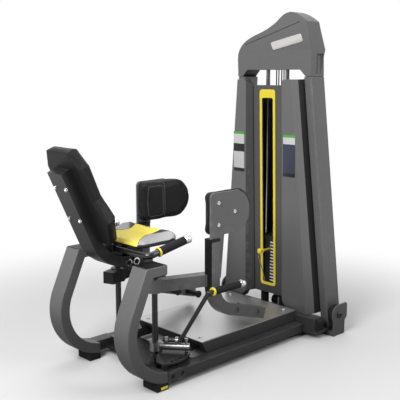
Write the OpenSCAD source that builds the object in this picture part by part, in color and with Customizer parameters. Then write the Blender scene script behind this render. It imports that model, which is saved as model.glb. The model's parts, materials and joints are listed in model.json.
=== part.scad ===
// Seated outer-thigh machine with a selectorised weight stack.
// Millimetres. X runs from the seat to the stack tower, Z is up, the origin is on the floor
// under the middle of the machine.

/* [Legs and base] */
// Distance between the two leg centre planes
leg_gap = 444; // [420:2:470]
// Width of a leg tube across the machine
leg_w = 88; // [80:1:94]
// Depth of a leg tube seen from the side
leg_d = 46; // [40:1:50]
// Lean of the leg's straight part from upright
leg_lean = 24; // [20:1:27]
// Inside radius of the leg's lower bend
leg_bend_r = 171; // [160:1:176]
// Height of the base beams
beam_h = 41; // [36:1:46]
// Height of the foot platform's top above the floor
platform_z = 120; // [114:1:128]

/* [Seat] */
// Lean of the backrest from upright
back_lean = 24.75; // [21:0.25:27]
// Width of the seat frame channel
frame_w = 94; // [80:1:110]
// Depth of the seat frame channel
frame_d = 43; // [36:1:46]
// Width of the seat cushion
seat_w = 370; // [320:5:390]
// Thickness of the seat cushion at its crown
seat_t = 44; // [38:1:52]
// Thickness of the back cushion at its crown
back_t = 60; // [50:1:66]
// Diameter of the handlebar tube
handle_d = 26; // [22:1:28]
// Distance between the two hand grips
handle_gap = 464; // [440:2:500]

/* [Swing arms] */
// Distance between the two pivot shafts
shaft_gap = 240; // [230:2:250]
// Diameter of a pivot shaft
shaft_d = 24; // [20:1:26]
// Angle of an arm from straight ahead at rest
arm_angle = 20; // [18:0.5:22]
// Side of the square arm tube
arm_side = 50; // [44:1:52]
// Length of the thigh cushion
pad_l = 284; // [260:2:300]
// Height of the thigh cushion
pad_h = 188; // [170:2:196]
// Thickness of the thigh cushion
pad_t = 57; // [48:1:60]
// Diameter of a foot peg
peg_d = 28; // [22:1:30]
// Winding radius of the cable cam
cam_r = 80; // [74:1:84]

/* [Tower] */
// Height of the seam between the tower posts and the cap
seam_z = 1209; // [1190:1:1220]
// Forward lean of the tower's shell
tower_lean = 1.7; // [1.2:0.1:2]
// Half width of the tower at the seam
seam_half = 225; // [222:1:230]
// Outward splay of a post per unit of height
post_splay = 0.095; // [0.09:0.001:0.096]
// Width of a post seen from the front
post_w = 42; // [36:1:44]
// Depth of a post seen from the side
post_d = 100; // [94:1:102]
// Half width of the stack slot
slot_half = 34; // [30:1:36]
// Radius of a transport wheel
wheel_r = 46; // [40:1:48]

/* [Weight stack] */
// Number of plates below the selector pin
rest_count = 12; // [9:1:12]
// Number of plates above the selector pin
lift_count = 3; // [2:1:5]
// Height taken by one plate
plate_pitch = 16; // [14:0.5:17]
// Diameter of a guide rod
rod_d = 20; // [16:1:22]
// Winding radius of the cable pulleys
pulley_r = 19; // [17:0.5:19.5]

/* [Fits] */
// Radial play of a turning or sliding fit
play = 0.05; // [0.03:0.01:0.09]
// Gap between pieces that pass each other
clear = 1; // [0.8:0.1:1.5]

/* [Hidden] */
$fn = 64;
eps = 0.01;
// Step where a straight length runs into a bend
lap = 0.02;
big = 3000;
// Legs: the lower bend's centre, and the height and end of the short top return
leg_y = leg_gap / 2;
leg_cx = 60;
leg_floor = 23;
leg_cz = leg_floor + leg_d + leg_bend_r;
leg_top = 502;
return_h = 40;
return_x = 41;
leg_end_x = 40;
leg_out_r = leg_bend_r + leg_d;
leg_run = (leg_top - leg_cz - leg_out_r * sin(leg_lean)) / cos(leg_lean) + 30;
leg_in_y = leg_y - leg_w / 2;
leg_out_y = leg_y + leg_w / 2;

// Base beams, splices and platform
beam_z = 24;
beam_top = beam_z + beam_h;
beam_w = 56;
beam_in_y = leg_out_y - beam_w;
splice_x = 138;
tower_x = 884;
skin = 4;
platform_x = 271;
platform_half = beam_in_y + 6;
plate_z = 30;
plate_t = 8;
plate_top = plate_z + plate_t;

// Pivot shafts
shaft_x = 97;
shaft_y = shaft_gap / 2;
shaft_r = shaft_d / 2;
boss_top = 60;
head_z = 425;
head_top = 457;
shaft_top = head_top - 2;

// Arms
arm_z = 379;
arm_tail = 75;
hub_r = 30;
bar_x = 297;
bar_w = 48;
bar_out_y = 246;
bar_d = 42;
bar_top = 555;
bar_bend_r = 104;
bar_drop = 16.6;
bar_run = 226;
bar_cz = 358;
peg_len = 78;
disc_z = 655;
disc_h = 178;
disc_l = 231;
disc_t = 8;
disc_y = bar_out_y - 6;
pad_cx = bar_x + pad_l / 2;
cam_z = 64;
cam_t = 16;
cable_d = 6;
groove_r = cable_d / 2 + 0.3;
lead_x = 900;

// Start lever, its latch arm and the index plate
index_z = 92;
index_t = 8;
index_r = 143;
hole_r = 128;
hole_step = 10;
hole_count = 6;
latch_angle = -50;
latch_z = 124;
latch_r = 15;
latch_len = 142;
latch_pin_r = 6;
latch_rest = 3;
lever_z = 150;
lever_r = 9;
lever_grip_r = 15;
lever_from = 32;
lever_knee = 104;
lever_bend_x = 240;
lever_y = -285;
lever_grip_x = 262;
lever_grip_l = 158;
lever_grip_z = 353;

// Seat frame profile, measured along and across the backrest
frame_top_u = 894;
frame_bend_r = 147;
frame_z = 457;
frame_cx = 25;
frame_end_x = 110;
frame_cz = frame_z + frame_d + frame_bend_r;
frame_top = frame_z + frame_d;
frame_low_u = frame_cz * cos(back_lean) - frame_cx * sin(back_lean);
frame_front = frame_cx * cos(back_lean) + frame_cz * sin(back_lean) - frame_bend_r;
frame_n = frame_front - frame_d;
bolt_half = 37;
bolt_us = [829, 691];
seat_z = 556;
seat_x0 = -48;
seat_fall = 0.0026;
seat_l = 238;
board_t = 8;
handle_x = -25;
handle_z = 538;
handle_rise = 10.8;
handle_bend = 24;
handle_r = handle_d / 2;
grip_r = handle_r + 4;
grip_from = 48;
grip_len = 138;
grip_end_l = 27;

// Tower shell
shell_x = 948;
panel_x = 914;
panel_t = 5;
panel_in = 90;
panel_low = 108;
panel_top = 1197;
panel_face = 868;
panel_rake = 0.0094;
slot_panel_low = 147;
slot_panel_top = 1170;
slot_low = 202;
slot_high = 1110;
slot_rim = 14.5;
slot_r = 8;
foot_x = 986;
foot_l = 87;
foot_nose = 17;
deck_z = 24;
deck_top = 40;
deck_half = post_y(deck_top);
deck_end = 1085;
cross_w = 60;
cross_half = deck_half - 6;
wheel_z = 101;
wheel_x = 1024;
wheel_w = 17;
wheel_y = deck_half + 2;
axle_r = 8;
foot_y = wheel_y + wheel_w + 3;
foot_t = 8;
cross_top = 100;
stack_x = 982;
stack_z = 170;
stack_w = 240;
stack_d = 64;
plate_gap = 0.4;
rod_y = 59.5;
rod_top = 1241;
rod_r = rod_d / 2;
stem_r = 11;
pin_r = 5;
pin_past = 10;
pin_z = stack_z + (rest_count + 0.5) * plate_pitch;
lift_z = stack_z + rest_count * plate_pitch;
top_z = lift_z + lift_count * plate_pitch;
head_t = 24;
stem_top = top_z + head_t + 36;
pulley_x = stack_x + pulley_r;
top_pulley_z = 1290;
low_pulley_z = 100;
pulley_half = 14;
flange = 4;
cable_y = 7;
pulley_axle_r = 6;
bracket_t = 5;
pocket_z = 1332;
knob_x = 862;
// Heading of a cable as it leaves its cam for the beam window, and where it leaves the cam
cam_span = [lead_x - shaft_x, cable_y - shaft_y];
cam_tangent = 90 + atan2(cam_span.y, cam_span.x) - asin(cam_r / norm(cam_span));
// Route of the pin's strap
tether_route = [[866, 0, 356.2], [862, 0, 341], [872, 0, 318], [886, 0, 286], [899, 0, 252],
    [910, 0, 218]];

// Shift from the leg line to the middle of the machine, between seat back and tower foot
mid_x = (foot_x + foot_l + foot_nose + frame_n * cos(back_lean) - frame_top_u * sin(back_lean)) / 2;

// Colours
grey = [0.36, 0.36, 0.37];
dark = [0.12, 0.12, 0.13];
black = [0.05, 0.05, 0.06];
chrome = [0.86, 0.86, 0.88];
steel = [0.66, 0.67, 0.68];
yellow = [0.95, 0.80, 0.10];

// Put a piece drawn from the leg line into the machine's own frame
module place() {
    translate([-mid_x, 0, 0]) children();
}

// A piece and its mirror image on the other side of the machine
module pair() {
    children();
    mirror([0, 1, 0]) children();
}

// A side outline (x, z) pulled across the machine from y0 to y1
module across(y0, y1) {
    translate([0, y1, 0]) rotate([90, 0, 0]) linear_extrude(y1 - y0) children();
}

// A front outline (y, z) pulled along the machine from x0 to x1
module along(x0, x1) {
    translate([x0, 0, 0]) rotate([90, 0, 90]) linear_extrude(x1 - x0) children();
}

// The part of a flat ring between two angles under half a turn apart
module ring_part(r_in, r_out, a0, a1) {
    reach = 2 * r_out;
    am = (a0 + a1) / 2;
    intersection() {
        difference() {
            circle(r_out, $fn = 96);
            circle(r_in, $fn = 96);
        }
        polygon([
            [0, 0], reach * [cos(a0), sin(a0)], 2 * reach * [cos(am), sin(am)],
            reach * [cos(a1), sin(a1)]
        ]);
    }
}

// A round bar between two points
module bar_between(a, b, r) {
    d = b - a;
    len = norm(d);
    translate(a) rotate([0, acos(d.z / len), atan2(d.y, d.x)]) cylinder(h = len, r = r);
}

// A rounded rectangle made of true arcs
module true_rect(a, b, r) {
    translate([a.x + r, a.y]) square([b.x - a.x - 2 * r, b.y - a.y]);
    translate([a.x, a.y + r]) square([b.x - a.x, b.y - a.y - 2 * r]);
    for (x = [a.x + r, b.x - r], y = [a.y + r, b.y - r]) translate([x, y]) circle(r);
}

// A domed bolt head on a short shank, standing on z = 0
module button_bolt(r, h, shank_r, shank) {
    difference() {
        union() {
            rotate_extrude() polygon([[0, -shank], [shank_r, -shank], [shank_r, 0], [r, 0],
                [r, 0.4 * h], [0.7 * r, h], [0, h]]);
        }
        translate([0, 0, 0.5 * h]) cylinder(h = h, r = 0.42 * r, $fn = 6);
    }
}

// Skin joining closed rings of points, each ring of the same length and seen anticlockwise from
// the side of the last ring. Ends are flat, or the last one closes on a crown point
module loft(rings, crown = undef) {
    n = len(rings[0]);
    m = len(rings);
    points = concat([for (ring = rings) each ring], is_undef(crown) ? [] : [crown]);
    sides = [for (k = [0:m - 2], i = [0:n - 1]) each [
        [k * n + i, (k + 1) * n + i, k * n + (i + 1) % n],
        [k * n + (i + 1) % n, (k + 1) * n + i, (k + 1) * n + (i + 1) % n]
    ]];
    low = [[for (i = [0:n - 1]) i]];
    top = (m - 1) * n;
    high = is_undef(crown)
        ? [[for (i = [n - 1:-1:0]) top + i]]
        : [for (i = [0:n - 1]) [top + i, m * n, top + (i + 1) % n]];
    polyhedron(points = points, faces = concat(low, sides, high));
}

function unit(v) = v / norm(v);

// The arc that replaces one corner of an outline, in k steps
function corner_arc(a, b, c, r, k) =
    let (
        u = unit(a - b),
        v = unit(c - b),
        half = acos(u * v) / 2,
        mid = b + unit(u + v) * r / sin(half),
        from = b + u * r / tan(half),
        a0 = atan2(from.y - mid.y, from.x - mid.x),
        turn = (cross(b - a, c - b) > 0 ? 1 : -1) * (180 - 2 * half)
    )
    [for (i = [0:k]) mid + r * [cos(a0 + turn * i / k), sin(a0 + turn * i / k)]];

// An outline with every corner rounded, each corner to its own radius
function rounded(pts, radii, k) =
    let (n = len(pts))
    [for (i = [0:n - 1]) each corner_arc(pts[(i + n - 1) % n], pts[i], pts[(i + 1) % n], radii[i], k)];

// Points of a cubic curve, without its first point
function curve(p, n) =
    [for (i = [1:n]) let (t = i / n, s = 1 - t)
        s * s * s * p[0] + 3 * s * s * t * p[1] + 3 * s * t * t * p[2] + t * t * t * p[3]];

// A cushion over an outline: sides drawn in at the base, full at the middle, crowned on top.
// fall lowers the crown towards the outline's low end of x, from the seam line on
cushion_rings = [[0, 5], [0.18, 0], [0.52, 0], [0.70, 5], [0.84, 17], [0.94, 40], [0.985, 70]];
module cushion(outline, t, seam = -big, fall = 0) {
    loft([for (ring = cushion_rings) [for (p = outline)
        let (q = p - unit(p) * min(ring[1], 0.8 * norm(p)))
        [q.x, q.y, ring[0] * t * (1 - fall * max(0, seam - q.x))]
    ]], crown = [0, 0, t * (1 - fall * max(0, seam))]);
}

// A cord of n sides through a list of points
module cord(route, r, n = 8) {
    m = len(route);
    loft([for (k = [0:m - 1])
        let (
            d = unit(route[min(k + 1, m - 1)] - route[max(k - 1, 0)]),
            side = unit(cross(abs(d.y) < 0.9 ? [0, 1, 0] : [1, 0, 0], d)),
            up = cross(d, side)
        )
        [for (i = [0:n - 1]) route[k] + r * (cos(360 * i / n) * side + sin(360 * i / n) * up)]
    ]);
}

// Lean of the tower shell about its front edge at the seam
module shell_lean() {
    translate([shell_x, 0, seam_z]) rotate([0, -tower_lean, 0]) translate([-shell_x, 0, -seam_z])
        children();
}

// The back's own frame: x out of its front, y across, z up along it
module back_frame() {
    rotate([0, -back_lean, 0]) children();
}

// Outer face of a post at a height
function post_y(z) = seam_half + post_splay * (seam_z - z);

// Everything above the deck and below the seam
module between_deck_and_seam() {
    translate([0, -big / 2, deck_top]) cube([big, big, seam_z - deck_top]);
}

// Legs and base

module leg_outline() {
    top_x = leg_cx - leg_out_r * cos(leg_lean)
        + (leg_top - leg_cz - leg_out_r * sin(leg_lean)) * tan(leg_lean);
    difference() {
        union() {
            translate([leg_cx, leg_cz]) {
                ring_part(leg_bend_r, leg_out_r, 180 - leg_lean, 270);
                rotate(180 - leg_lean) translate([leg_bend_r + lap, -leg_run])
                    square([leg_d - 2 * lap, leg_run + 1]);
            }
            translate([top_x, leg_top - return_h]) square([return_x - top_x, return_h]);
        }
        translate([leg_end_x, 0]) square([big, leg_cz - leg_bend_r + 60]);
        translate([-big / 2, leg_top]) square([big, big]);
    }
}

module legs() {
    color(grey) place() pair() across(leg_in_y, leg_out_y) leg_outline();
}

// Rubber blocks hollowed to the curve of the leg
module leg_feet() {
    foot_from = -18;
    color(black) place() pair() across(leg_in_y, leg_out_y) difference() {
        translate([foot_from, 0]) square([leg_end_x - foot_from, leg_d]);
        translate([leg_cx, leg_cz]) circle(leg_out_r + 0.1, $fn = 96);
    }
}

splice_bolt_xs = [64, 116];
splice_bolt_z = 45;
splice_bolt_r = 5;
splice_head_r = 8;
splice_recess = 8;

module splices() {
    color(grey) place() pair() difference() {
        translate([leg_end_x, beam_in_y, beam_z - 2])
            cube([splice_x - leg_end_x, beam_w, beam_h + 4]);
        for (x = splice_bolt_xs) translate([x, leg_out_y, splice_bolt_z]) rotate([90, 0, 0]) {
            translate([0, 0, -eps]) cylinder(h = splice_recess + eps, r = splice_head_r + clear / 2);
            cylinder(h = beam_w + 1, r = splice_bolt_r + play);
        }
    }
}

module splice_bolts() {
    head = splice_recess - 2;
    color(dark) place() pair() for (x = splice_bolt_xs)
        translate([x, leg_out_y - splice_recess, splice_bolt_z]) rotate([-90, 0, 0])
            button_bolt(splice_head_r, head, splice_bolt_r, beam_w - splice_recess);
}

module base_beams() {
    color(grey) place() pair() translate([splice_x, beam_in_y, beam_z])
        cube([tower_x - splice_x, beam_w, beam_h]);
}

// Floor plate between the splices with a bearing boss under each shaft
module base_plate() {
    rear_x = -20;
    front_x = 262;
    rear_half = leg_in_y - 8;
    boss_r = 26;
    color(black) place() difference() {
        union() {
            translate([0, 0, plate_z]) linear_extrude(plate_t) polygon([
                [rear_x, -rear_half], [leg_end_x, -rear_half], [leg_end_x, -beam_in_y],
                [front_x, -beam_in_y], [front_x, beam_in_y], [leg_end_x, beam_in_y],
                [leg_end_x, rear_half], [rear_x, rear_half]
            ]);
            pair() translate([shaft_x, shaft_y, plate_top - eps])
                cylinder(h = boss_top - plate_top + eps, r = boss_r);
        }
        pair() translate([shaft_x, shaft_y, plate_z - 1])
            cylinder(h = boss_top, r = shaft_r + play);
    }
}

// Quarter plate with the row of start holes, on three posts
module index_plate() {
    hub_gap = 30;
    hole_play = 1.5;
    post_r = 6;
    spots = [[130, -112, beam_top + 2], [112, -78, beam_top + 2], [125, -40, plate_top]];
    color(dark) place() translate([shaft_x, -shaft_y, 0]) {
        translate([0, 0, index_z]) linear_extrude(index_t) difference() {
            intersection() {
                ring_part(hub_gap, index_r, -128, -15);
                translate([-70, -big / 2]) square(big);
            }
            for (i = [0:hole_count - 1]) rotate(latch_angle - i * hole_step)
                translate([hole_r, 0]) circle(latch_pin_r + hole_play, $fn = 32);
        }
        for (s = spots) rotate(s[1]) translate([s[0], 0, s[2]])
            cylinder(h = index_z - s[2] + eps, r = post_r);
    }
}

module platform_box() {
    under_x = 300;
    lid_z = platform_z - skin;
    window_y = 128;
    window_w = 56;
    color(dark) place() difference() {
        across(-platform_half, platform_half) polygon([
            [platform_x, lid_z], [tower_x, lid_z], [tower_x, beam_top], [under_x, beam_top]
        ]);
        across(skin - platform_half, platform_half - skin) polygon([
            [platform_x + 2 * skin, lid_z - skin], [tower_x + 1, lid_z - skin],
            [tower_x + 1, beam_top - 1], [under_x + 2 * skin, beam_top - 1]
        ]);
        pair() translate([platform_x, window_y, beam_top - 1]) cube([60, window_w, 26]);
    }
}

platform_bolt_xs = [302, 850];
platform_bolt_y = 172;
bolt_r = 9;
bolt_h = 5;
bolt_shank_r = 4;

module platform_top() {
    color(steel) place() difference() {
        translate([platform_x - 3, -platform_half, platform_z - skin])
            cube([tower_x - platform_x + 3, 2 * platform_half, skin]);
        pair() for (x = platform_bolt_xs) translate([x, platform_bolt_y, platform_z - skin - 1])
            cylinder(h = skin + 2, r = bolt_shank_r + play);
    }
}

// The bolts of the platform and of the seat frame's back
module chrome_bolts() {
    color(chrome) place() pair() {
        for (x = platform_bolt_xs) translate([x, platform_bolt_y, platform_z])
            button_bolt(bolt_r, bolt_h, bolt_shank_r, skin);
        back_frame() for (u = bolt_us) translate([frame_n, bolt_half, u]) rotate([0, -90, 0])
            button_bolt(bolt_r, bolt_h + 1, bolt_shank_r, bolt_deep);
    }
}

// Cross member with a cheek on each leg top, the seat frame on it and the upper bearings of the shafts
module cross_head() {
    from_x = 66;
    to_x = 108;
    cheek_x = -10;
    cheek_t = 14;
    cheek_low = leg_top - return_h;
    cheek_top = leg_top - 4;
    tab_r = 26;
    color(dark) place() difference() {
        union() {
            translate([from_x, -leg_in_y, head_z])
                cube([to_x - from_x, 2 * leg_in_y, head_top - head_z]);
            pair() {
                across(leg_in_y - cheek_t, leg_in_y) polygon([
                    [cheek_x, cheek_low], [from_x - 6, cheek_low], [from_x, head_z], [to_x, head_z],
                    [to_x, head_top + 10], [return_x, cheek_top], [cheek_x, cheek_top]
                ]);
                translate([shaft_x, shaft_y, head_z]) cylinder(h = head_top - head_z, r = tab_r);
            }
        }
        pair() translate([shaft_x, shaft_y, head_z - 1])
            cylinder(h = head_top - head_z + 2, r = shaft_r + play);
    }
}

// Seat, back and handlebar

bolt_deep = 20;

module seat_frame() {
    run = frame_top_u - frame_low_u;
    color(dark) place() difference() {
        across(-frame_w / 2, frame_w / 2) {
            translate([frame_cx, frame_cz]) {
                ring_part(frame_bend_r, frame_bend_r + frame_d, 180 + back_lean, 270);
                rotate(180 + back_lean) translate([frame_bend_r + lap, -run])
                    square([frame_d - 2 * lap, run + 1]);
            }
            translate([frame_cx - eps, frame_z]) square([frame_end_x - frame_cx, frame_d]);
        }
        back_frame() translate([frame_front, -frame_w, back_rows[0].y])
            cube([frame_d, 2 * frame_w, frame_low_u - back_rows[0].y + 1]);
        back_frame() pair() for (u = bolt_us) translate([frame_n - 1, bolt_half, u])
            rotate([0, 90, 0]) cylinder(h = bolt_deep + 1, r = bolt_shank_r + play);
        pair() for (x = collar_xs) translate([x, frame_w / 2 + 1, collar_z]) rotate([90, 0, 0])
            cylinder(h = collar_deep + 1, r = collar_pin_r + play);
    }
}

collar_xs = [20, 58];
collar_z = 474;
collar_r = 16;
collar_pin_r = 8;
collar_t = 10;
collar_deep = 18;

// Bright collars with a sunk centre on the sides of the seat frame
module frame_collars() {
    sink = 3;
    color(chrome) place() pair() for (x = collar_xs) translate([x, frame_w / 2, collar_z])
        rotate([-90, 0, 0]) difference() {
            union() {
                cylinder(h = collar_t, r = collar_r);
                translate([0, 0, -collar_deep]) cylinder(h = collar_deep + eps, r = collar_pin_r);
            }
            translate([0, 0, collar_t - sink]) cylinder(h = sink + 1, r = collar_r - 5);
        }
}

back_mid_u = 762;
back_rows = [[95, 558], [144, 661], [108, 754], [112, 893], [70, 966]];
back_radii = [20, 26, 60, 40, 22];

module back_pad() {
    half = [for (p = back_rows) [p[0], p[1] - back_mid_u]];
    count = len(half);
    outline = concat(half, [for (i = [count - 1:-1:0]) [-half[i].x, half[i].y]]);
    radii = concat(back_radii, [for (i = [count - 1:-1:0]) back_radii[i]]);
    color(black) place() back_frame() translate([frame_front, 0, back_mid_u]) rotate([90, 0, 90])
        cushion(rounded(outline, radii, 4), back_t);
}

module seat_pad() {
    a = seat_l / 2;
    b = seat_w / 2;
    outline = rounded([[-a, -b], [a, -b], [a, b], [-a, b]], [40, 75, 75, 40], 7);
    color(black) place() translate([seat_x0 + a, 0, seat_z]) cushion(outline, seat_t, a / 2, seat_fall);
}

// Seat board, its pedestal and the clamp round the handlebar
module seat_mount() {
    board_x = 180;
    board_half = 150;
    clamp_half = 32;
    clamp_w = 20;
    clamp_l = 50;
    post_x = 105;
    post_half = 40;
    fit = 0.3;
    color(dark) place() difference() {
        union() {
            translate([0, -board_half, seat_z - board_t]) cube([board_x, 2 * board_half, board_t]);
            intersection() {
                translate([handle_x - clamp_w, -clamp_half, frame_top])
                    cube([clamp_l, 2 * clamp_half, seat_z - frame_top]);
                translate([frame_cx, clamp_half, frame_cz]) rotate([90, 0, 0])
                    cylinder(h = 2 * clamp_half, r = frame_bend_r - fit);
            }
            translate([frame_cx, -post_half, frame_top])
                cube([post_x - frame_cx, 2 * post_half, seat_z - board_t - frame_top + eps]);
        }
        translate([handle_x, clamp_half + 1, handle_z]) rotate([90, 0, 0])
            cylinder(h = 2 * clamp_half + 2, r = handle_r + play);
    }
}

// The handlebar's own frame: y along its cross tube, x along the grips
module handle_frame() {
    translate([handle_x, 0, handle_z]) rotate([0, -handle_rise, 0]) children();
}

module handlebar() {
    half = handle_gap / 2;
    straight = half - handle_bend;
    color(dark) place() handle_frame() {
        translate([0, straight, 0]) rotate([90, 0, 0]) cylinder(h = 2 * straight, r = handle_r);
        pair() {
            translate([handle_bend, straight, 0]) rotate([0, 0, 90]) rotate_extrude(angle = 90)
                translate([handle_bend, 0]) circle(handle_r);
            translate([handle_bend, half, 0]) rotate([0, 90, 0])
                cylinder(h = grip_from + grip_len - handle_bend, r = handle_r);
        }
    }
}

// A grip sleeve with its collar, along z from the collar's start
module grip(r_in, r_out, length) {
    collar = 7;
    rise = 2.5;
    difference() {
        union() {
            cylinder(h = collar, r = r_out + rise);
            cylinder(h = length, r = r_out);
        }
        translate([0, 0, -1]) cylinder(h = length + 2, r = r_in);
    }
}

// A domed bright end cap along z
module grip_end(r, length) {
    round = 5;
    rotate_extrude() {
        square([r - round, length]);
        square([r, length - round]);
        translate([r - round, length - round]) circle(round);
    }
}

module handle_grips() {
    color(black) place() handle_frame() pair() translate([grip_from, handle_gap / 2, 0])
        rotate([0, 90, 0]) grip(handle_r + play, grip_r, grip_len);
}

module handle_ends() {
    color(chrome) place() handle_frame() pair()
        translate([grip_from + grip_len, handle_gap / 2, 0]) rotate([0, 90, 0])
            grip_end(grip_r + 1, grip_end_l);
}

// Tower

module posts() {
    over = seam_z + 20;
    color(grey) place() pair() intersection() {
        shell_lean() along(shell_x, shell_x + post_d) polygon([
            [post_y(0), 0], [post_y(over), over], [post_y(over) - post_w, over],
            [post_y(0) - post_w, 0]
        ]);
        between_deck_and_seam();
    }
}

// Front of the cap above the seam: a low shoulder on one side and a fin on the other
module cap_front() {
    scale = [seam_half, cap_h];
    shares = concat(
        [[-1, 0], [1, 0], [0.982, 0.298]],
        curve([[0.982, 0.298], [0.956, 0.540], [0.667, 0.626], [0.333, 0.696]], 8),
        curve([[0.333, 0.696], [0.133, 0.737], [0, 0.782], [-0.156, 0.848]], 5),
        curve([[-0.156, 0.848], [-0.289, 0.907], [-0.378, 1], [-0.578, 1]], 6),
        curve([[-0.578, 1], [-0.733, 1], [-0.933, 0.907], [-1.031, 0.837]], 6),
        [[-1.049, 0.419]]
    );
    polygon([for (p = shares) [p.x * scale.x, p.y * scale.y]]);
}

// Side of the cap, from the front of the posts at the seam
cap_h = 289;
cap_brow = [-0.14 * post_d, 0.408 * cap_h];
cap_crest = [-0.53 * post_d, 0.83 * cap_h];

module cap_side() {
    shares = concat(
        [[0.27, 1.014]],
        curve([[0.27, 1.014], [0.38, 0.848], [0.6, 0.657], [0.88, 0.415]], 5),
        [[0.82, 0.304], [0.97, 0], [-0.02, 0]]
    );
    polygon(concat(
        [for (p = shares) [p.x * post_d, p.y * cap_h]],
        [cap_brow, cap_crest, [-0.68 * post_d, 1.014 * cap_h]]
    ));
}

// One-piece cap with the arch over the stack and a pocket for the top pulley
module tower_cap() {
    reach = 200;
    arch_foot = 30;
    arch_slope = 32;
    arch_out = seam_half - arch_foot;
    arch_in = arch_out - arch_slope;
    arch_h = rod_top - seam_z;
    pocket_front = 51;
    pocket_x = pulley_x - pocket_front;
    pocket_d = 76;
    pocket_half = 40;
    scoop_r = 30;
    scoop_deep = 4;
    scoop_z = 12;
    scoop_h = 90;
    rim_rise = 14.4;
    rim_back = 18;
    rim_z = 168;
    brow = cap_crest - cap_brow;
    rim = cap_brow + brow * (rim_z - cap_brow.y) / brow.y;
    color(grey) place() translate([shell_x, 0, seam_z]) difference() {
        intersection() {
            along(-reach, reach) cap_front();
            across(-seam_half - reach, seam_half + reach) cap_side();
        }
        along(-reach, reach) polygon([
            [-arch_out, -1], [arch_out, -1], [arch_out, 0], [arch_in, arch_h],
            [-arch_in, arch_h], [-arch_out, 0]
        ]);
        translate([rim.x, 0, rim.y]) rotate([0, atan2(brow.x, brow.y), 0]) rotate([-rim_rise, 0, 0])
            rotate([0, rim_back, 0]) translate([-reach, -2 * reach, -reach / 8])
                cube([reach, 4 * reach, 2 * reach]);
        translate([pocket_x - shell_x, -pocket_half, -1])
            cube([pocket_d, 2 * pocket_half, pocket_z - seam_z + 1]);
        translate([0.55 * post_d, -seam_half - scoop_r + scoop_deep, scoop_z])
            cylinder(h = scoop_h, r = scoop_r);
    }
}

// Front face of a side panel at a height
function panel_front(z) = panel_face + panel_rake * (z - panel_low);

// Outer edge of a side panel at a height
function panel_out(z) = post_y(z) - post_w + 5;

// Shaped panels beside the slot: a flat face between an inner bevel and a rounded-off outer edge,
// with a flange back to the post
module side_panels() {
    ridge_y = 120;
    notch = 24;
    wide = 28;
    gap = 9;
    tab = 14;
    back = panel_x - 11;
    color(grey) place() shell_lean() pair() difference() {
        intersection() {
            along(0, shell_x) polygon([
                [panel_in, slot_panel_low], [ridge_y, slot_panel_low - 4],
                [ridge_y + 0.7 * notch, panel_low + 0.6 * notch], [ridge_y + notch, panel_low],
                [panel_out(panel_low), panel_low], [panel_out(panel_top), panel_top],
                [ridge_y, panel_top], [panel_in, slot_panel_top]
            ]);
            across(0, big) polygon([
                [panel_front(panel_low), panel_low], [shell_x + 1, panel_low],
                [shell_x + 1, panel_top], [panel_front(panel_top), panel_top]
            ]);
        }
        linear_extrude(big) polygon([
            [back - 2 * (back - panel_face), panel_in], [back, panel_in],
            [panel_face - 1, ridge_y + 1], [panel_face - 2, ridge_y + 1]
        ]);
        translate([0, panel_out(panel_top), panel_top]) rotate([atan(post_splay), 0, 0])
            translate([0, 0, -big / 2]) linear_extrude(big) {
                polygon([
                    [panel_face - 30, -2 * wide], [panel_face, -wide], [panel_x - 25, -16],
                    [panel_x - 9, -4], [shell_x + 1, 1], [panel_face - 30, 1]
                ]);
                polygon([[panel_x, -big], [panel_x, -12], [shell_x + 2, -6], [shell_x + 2, -big]]);
            }
        translate([shell_x - gap, 0, panel_low + tab])
            cube([gap + 1, big, panel_top - panel_low - 2 * tab]);
    }
}

module slot_panel() {
    color(dark) place() shell_lean() along(panel_x - panel_t, panel_x) difference() {
        translate([-panel_in, slot_panel_low])
            square([2 * panel_in, slot_panel_top - slot_panel_low]);
        true_rect([-slot_half, slot_low], [slot_half, slot_high], slot_r);
    }
}

// Bright rim round the slot, deeper along its top
module slot_frame() {
    head = 40;
    color(yellow) place() shell_lean() along(panel_x - 2 * panel_t, panel_x - panel_t) difference() {
        true_rect([-slot_half - slot_rim, slot_low - slot_rim],
            [slot_half + slot_rim, slot_high + head], 2 * slot_r);
        true_rect([-slot_half, slot_low], [slot_half, slot_high], slot_r);
    }
}

module rear_panel() {
    t = 4;
    inset = 12;
    low = 175;
    high = seam_z - 90;
    color(dark) place() shell_lean() along(shell_x + post_d - inset - t, shell_x + post_d - inset)
        polygon([
            [post_w - post_y(low), low], [post_y(low) - post_w, low],
            [post_y(high) - post_w, high], [post_w - post_y(high), high]
        ]);
}

// Bare plates: one on the cap's sloping brow, one on each side panel
module blank_plates() {
    t = 3;
    name_l = 190;
    name_h = 38;
    name_y = -102;
    name_tilt = 11;
    card_w = 70;
    card_h = 194;
    card_y = 158;
    card_z = 848;
    brow = cap_crest - cap_brow;
    at = cap_brow + 0.32 * brow;
    color(dark) place() {
        translate([shell_x + at.x, name_y, seam_z + at.y]) rotate([0, atan2(brow.x, brow.y), 0])
            along(-t, 0) rotate(-name_tilt)
                true_rect([-name_l / 2, -name_h / 2], [name_l / 2, name_h / 2], 10);
        shell_lean() pair() translate([panel_front(card_z), card_y, card_z])
            rotate([0, atan(panel_rake), 0]) along(-t, 0)
                true_rect([-card_w / 2, -card_h / 2], [card_w / 2, card_h / 2], 4);
    }
}

module guide_rods() {
    color(chrome) place() pair() translate([stack_x, rod_y, deck_top])
        cylinder(h = rod_top - deck_top, r = rod_r);
}

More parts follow.
